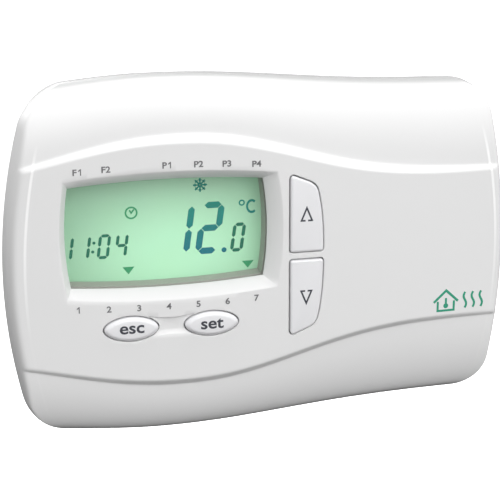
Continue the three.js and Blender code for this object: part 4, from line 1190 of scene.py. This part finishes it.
def build_labels():
    """Programme labels above the window and the days' numbers under it."""
    x0, z0 = centre("lcd_glass").x, centre("lcd_glass").z
    raised = sizes().print_thickness / MM
    pieces = []
    for text, offset in PROGRAMME_LABELS:
        x = x0 + offset
        z = z0 + PROGRAMME_Z - (offset / PROGRAMME_REACH) ** 2
        depth = panel_depth(x)
        if text[1] == "1":
            pieces.append(lettering("label", text[0], x + LETTER_SHIFT, z, depth + raised, **LABEL_PRINT))
            pieces.append(figure_one(x + FIGURE_SHIFT, z, depth + raised * PRINT_SUNK, PROGRAMME_FIGURE))
        else:
            pieces.append(lettering("label", text, x, z, depth + raised, **LABEL_PRINT))
    for day in range(1, 8):
        x = x0 + DAY_X + (day - 4) * DAY_PITCH
        z = z0 + DAY_Z + ((day - 4) / 3) ** 2 * DAY_ARCH
        depth = panel_depth(x)
        if day == 1:
            pieces.append(figure_one(x, z, depth + raised * PRINT_SUNK, DAY_FIGURE))
        else:
            pieces.append(lettering("label", str(day), x, z, depth + raised, **DAY_PRINT))
    labels = joined("panel_labels", pieces)
    finish(labels, "cover_plastic", ink("grey_pad_print", tuple(colours().labels)))


# An arrow on a tall key, from the middle between the two keys: its open outline, and its stroke
ARROW = ((-0.35, 9.75), (-1.45, 9.75), (0.0, 13.2), (1.45, 9.75), (0.35, 9.75))
ARROW_X = -0.2
ARROW_STROKE = 0.46
WORD_RISE = 0.1


def build_key_marks():
    """The words on the lens keys and the arrows on the tall keys, each riding with its key."""
    dark = ink("dark_pad_print", tuple(colours().key_labels))
    sunk = sizes().print_thickness / MM * PRINT_SUNK
    for name, x in LENS_KEYS.items():
        face = panel_depth(x) + sizes().lens_key_proud / MM
        word = lettering(name + "_word", name, x, LENS_Z + WORD_RISE, face + sunk, **KEY_PRINT)
        finish(word, "key_plastic", dark, body=name + "_key")
    x = TALL_LEFT + TALL_WIDTH / 2
    face = panel_depth(x) + sizes().tall_key_proud / MM
    for name, way in (("up", 1), ("down", -1)):
        outline = stroke_line([(across, way * along) for across, along in ARROW], ARROW_STROKE)
        arrow = flat_shapes(name + "_arrow", placed([outline], x + ARROW_X, 0), face)
        finish(arrow, "key_plastic", dark, body=name + "_key")


# The green mark: its lower left corner on the panel, and its lines and solid shapes from there
MARK_X = 47.3
MARK_Z = -19.0
MARK_MIDDLE = 8
MARK_STROKES = (0.62, 0.7)
MARK_WALLS = ((1.2, 2.7), (1.2, 0.0), (6.0, 0.0), (6.0, 2.7))
MARK_ROOF = ((0.0, 2.5), (3.6, 5.8), (7.2, 2.5))
MARK_BULB = (3.6, 1.35, 0.72)
MARK_TUBE = ((3.3, 1.8), (3.9, 1.8), (3.9, 3.6), (3.3, 3.6))
WAVE_LINE = {"x": 9.3, "pitch": 2.4, "swing": 0.42, "bottom": 0.3, "height": 4.6, "stroke": 0.64, "steps": 12}


def build_pictogram():
    """A plain green mark of a house, a thermometer and rising warmth."""
    walls, roof = (stroke_line(*line) for line in zip((MARK_WALLS, MARK_ROOF), MARK_STROKES))
    shapes = [walls, roof, disc(*MARK_BULB), MARK_TUBE]
    for i in range(3):
        points = []
        for step in range(WAVE_LINE["steps"] + 1):
            share = step / WAVE_LINE["steps"]
            x = WAVE_LINE["x"] + i * WAVE_LINE["pitch"] + WAVE_LINE["swing"] * math.sin(2 * math.pi * share)
            points.append((x, WAVE_LINE["bottom"] + share * WAVE_LINE["height"]))
        shapes.append(stroke_line(points, WAVE_LINE["stroke"]))
    depth = panel_depth(MARK_X + MARK_MIDDLE)
    mark = flat_shapes("comfort_mark", placed(shapes, MARK_X, MARK_Z), depth + PRINT_GAP)
    for vertex in mark.data.vertices:
        vertex.co.y += (depth - panel_depth(vertex.co.x / MM)) * MM
    finish(mark, "cover_plastic", ink("green_pad_print", tuple(colours().pictogram)))


# ------------------------------------------------------------------ carried-over nodes and the stage

def finish_frame():
    """Gives every CAD node the finish of its slot."""
    for part in frame["record"]["subparts"]:
        node = frame["nodes"][part["node"]]
        node.data.materials.clear()
        node.data.materials.append(MATERIALS[part["material_slot"]])
        for polygon in node.data.polygons:
            polygon.material_index = 0


def lit_paper(name, strength, reflects):
    """Matt white paper, lit from behind so that it stays even and pale."""
    material, tree, place = new_material(name)
    fibre = add(tree, "TexNoise", {"Vector": place, "Scale": per_mm(40), "Detail": 3.0})
    tone = add(tree, "Mix", {"Factor": fibre, "A": linear(0xF4F4F4), "B": linear(0xF8F8F8)}, data_type="RGBA")
    shader = add(tree, "BsdfPrincipled", {
        "Base Color": tone if reflects else linear(0x000000), "Roughness": 0.9, "Specular IOR Level": 0.0,
        "Emission Color": tone, "Emission Strength": strength,
    })
    add(tree, "OutputMaterial", {"Surface": shader})
    return material


CAMERA_AZIMUTH = math.radians(13.1)
CAMERA_ELEVATION = math.radians(16.0)
CAMERA_ROLL = math.radians(-0.28)
CAMERA_DISTANCE = 0.3524
CAMERA_TARGET = Vector((-3.2, -20, 0.25)) * MM
CAMERA_LENS = 93.9
FLOOR_Z = -0.3
FLOOR_SIZE = 30
BACKDROP_RADIUS = 12
# The dome is brightest along this way, and screened off behind the object, so that its outline stays crisp.
# Straight below, its strength is a little under zero, which keeps undersides dark
LIGHT_AXIS = (0.14, -0.1, 0.98)
SKY_BELOW = -0.12
SKY_ABOVE = 1.18
LAMPS = {
    "key_softbox": {"place": (0.16, -0.8, 0.4), "size": 0.6, "power": 4.0},
    "top_softbox": {"place": (0.03, 0.12, 0.88), "size": 0.5, "power": 4.2},
    "back_softbox": {"place": (-0.3, 0.62, 0.5), "size": 0.6, "power": 6.5},
}


def build_paper():
    """The floor, and a sphere of the same paper round everything; neither lights the object."""
    deselect()
    bpy.ops.mesh.primitive_plane_add(size=FLOOR_SIZE, location=(0, 0, FLOOR_Z))
    floor = named("floor")
    floor.data.materials.append(lit_paper("lit_paper_floor", 0.6, True))
    deselect()
    bpy.ops.mesh.primitive_uv_sphere_add(segments=48, ring_count=24, radius=BACKDROP_RADIUS)
    backdrop = named("backdrop")
    backdrop.data.materials.append(lit_paper("lit_paper_backdrop", 1.0, False))
    for staged in (floor, backdrop):
        staged.visible_diffuse = False
        staged.visible_glossy = False
    backdrop.visible_transmission = False
    backdrop.visible_shadow = False


def build_dome():
    """Soft light from all round, from the world."""
    world = bpy.data.worlds.new("soft_dome")
    world.use_nodes = True
    tree = world.node_tree
    tree.nodes.clear()
    way = add(tree, "TexCoord").outputs["Generated"]
    along = add(tree, "VectorMath", {0: way, 1: LIGHT_AXIS}, operation="DOT_PRODUCT")
    level = add(tree, "MapRange", {"Value": along, "From Min": -1.0, "From Max": 1.0,
                                   "To Min": SKY_BELOW, "To Max": SKY_ABOVE})
    behind = add(tree, "VectorMath", {0: way, 1: (0, 1, 0)}, operation="DOT_PRODUCT")
    screened = add(tree, "MapRange", {"Value": behind, "From Min": 0.3, "From Max": 0.85,
                                      "To Min": 1.0, "To Max": 0.0}, interpolation_type="SMOOTHSTEP")
    strength = add(tree, "Math", {0: level, 1: screened}, operation="MULTIPLY")
    sky = add(tree, "Background", {"Color": (1.0, 1.0, 1.0, 1.0), "Strength": strength})
    add(tree, "OutputWorld", {"Surface": sky})
    bpy.context.scene.world = world


def add_softbox(name, place, size, power):
    """A square area light that faces the object."""
    data = bpy.data.lights.new(name, "AREA")
    data.shape = "SQUARE"
    data.size = size
    data.energy = power
    lamp = bpy.data.objects.new(name, data)
    bpy.context.scene.collection.objects.link(lamp)
    lamp.location = place
    lamp.rotation_euler = Vector(place).to_track_quat("Z", "Y").to_euler()


def add_camera():
    level = math.cos(CAMERA_ELEVATION)
    back = Vector((-math.sin(CAMERA_AZIMUTH) * level, -math.cos(CAMERA_AZIMUTH) * level,
                   math.sin(CAMERA_ELEVATION)))
    data = bpy.data.cameras.new("camera")
    data.lens = CAMERA_LENS
    data.sensor_width = 36
    data.clip_end = 100
    camera = bpy.data.objects.new("camera", data)
    bpy.context.scene.collection.objects.link(camera)
    camera.location = CAMERA_TARGET + back * CAMERA_DISTANCE
    turned = back.to_track_quat("Z", "Y").to_matrix().to_4x4()
    camera.rotation_euler = (turned @ Matrix.Rotation(CAMERA_ROLL, 4, "Z")).to_euler()
    bpy.context.scene.camera = camera
    bpy.context.scene.view_settings.view_transform = "Standard"


# ------------------------------------------------------------------ operators and panel

class THERMOSTAT_OT_frame(bpy.types.Operator):
    """Give every part of the frame its finish"""
    bl_idname = "thermostat.frame"
    bl_label = "Finish the frame"

    def execute(self, context):
        MATERIALS.update(slot_materials())
        finish_frame()
        return {"FINISHED"}


class THERMOSTAT_OT_cover(bpy.types.Operator):
    """Model the front cover with its wavy panel, window and key openings"""
    bl_idname = "thermostat.cover"
    bl_label = "Front cover"

    def execute(self, context):
        build_cover()
        return {"FINISHED"}


class THERMOSTAT_OT_display(bpy.types.Operator):
    """Model the display glass with its figures and symbols"""
    bl_idname = "thermostat.display"
    bl_label = "Display"

    def execute(self, context):
        build_display()
        return {"FINISHED"}


class THERMOSTAT_OT_lens_keys(bpy.types.Operator):
    """Model the two lens-shaped keys under the window"""
    bl_idname = "thermostat.lens_keys"
    bl_label = "Lens keys"

    def execute(self, context):
        for name in LENS_KEYS:
            build_lens_key(name)
        return {"FINISHED"}


class THERMOSTAT_OT_tall_keys(bpy.types.Operator):
    """Model the two tall keys beside the window"""
    bl_idname = "thermostat.tall_keys"
    bl_label = "Tall keys"

    def execute(self, context):
        for name in ("up", "down"):
            build_tall_key(name)
        return {"FINISHED"}


class THERMOSTAT_OT_markings(bpy.types.Operator):
    """Print the labels, the key marks and the comfort mark"""
    bl_idname = "thermostat.markings"
    bl_label = "Markings"

    def execute(self, context):
        build_labels()
        build_key_marks()
        build_pictogram()
        return {"FINISHED"}


class THERMOSTAT_OT_stage(bpy.types.Operator):
    """Set up the floor, the soft light and the camera"""
    bl_idname = "thermostat.stage"
    bl_label = "Stage"

    def execute(self, context):
        build_paper()
        build_dome()
        for name, lamp in LAMPS.items():
            add_softbox(name, **lamp)
        add_camera()
        return {"FINISHED"}


STEPS = ("frame", "cover", "display", "lens_keys", "tall_keys", "markings", "stage")


class THERMOSTAT_PT_panel(bpy.types.Panel):
    """Sizes, colours and steps of the thermostat"""
    bl_label = "Thermostat"
    bl_idname = "THERMOSTAT_PT_panel"
    bl_space_type = "VIEW_3D"
    bl_region_type = "UI"
    bl_category = "Thermostat"

    def draw(self, context):
        for group in (context.scene.thermostat_sizes, context.scene.thermostat_colours):
            for name in group.__annotations__:
                self.layout.prop(group, name)
        for step in STEPS:
            self.layout.operator("thermostat." + step)


CLASSES = (
    ThermostatSizes,
    ThermostatColours,
    THERMOSTAT_OT_frame,
    THERMOSTAT_OT_cover,
    THERMOSTAT_OT_display,
    THERMOSTAT_OT_lens_keys,
    THERMOSTAT_OT_tall_keys,
    THERMOSTAT_OT_markings,
    THERMOSTAT_OT_stage,
    THERMOSTAT_PT_panel,
)


def register():
    for cls in CLASSES:
        bpy.utils.register_class(cls)
    bpy.types.Scene.thermostat_sizes = bpy.props.PointerProperty(type=ThermostatSizes)
    bpy.types.Scene.thermostat_colours = bpy.props.PointerProperty(type=ThermostatColours)


def unregister():
    del bpy.types.Scene.thermostat_colours
    del bpy.types.Scene.thermostat_sizes
    for cls in reversed(CLASSES):
        bpy.utils.unregister_class(cls)


def main():
    register()
    for step in STEPS:
        getattr(bpy.ops.thermostat, step)()


if __name__ == "__main__":
    main()
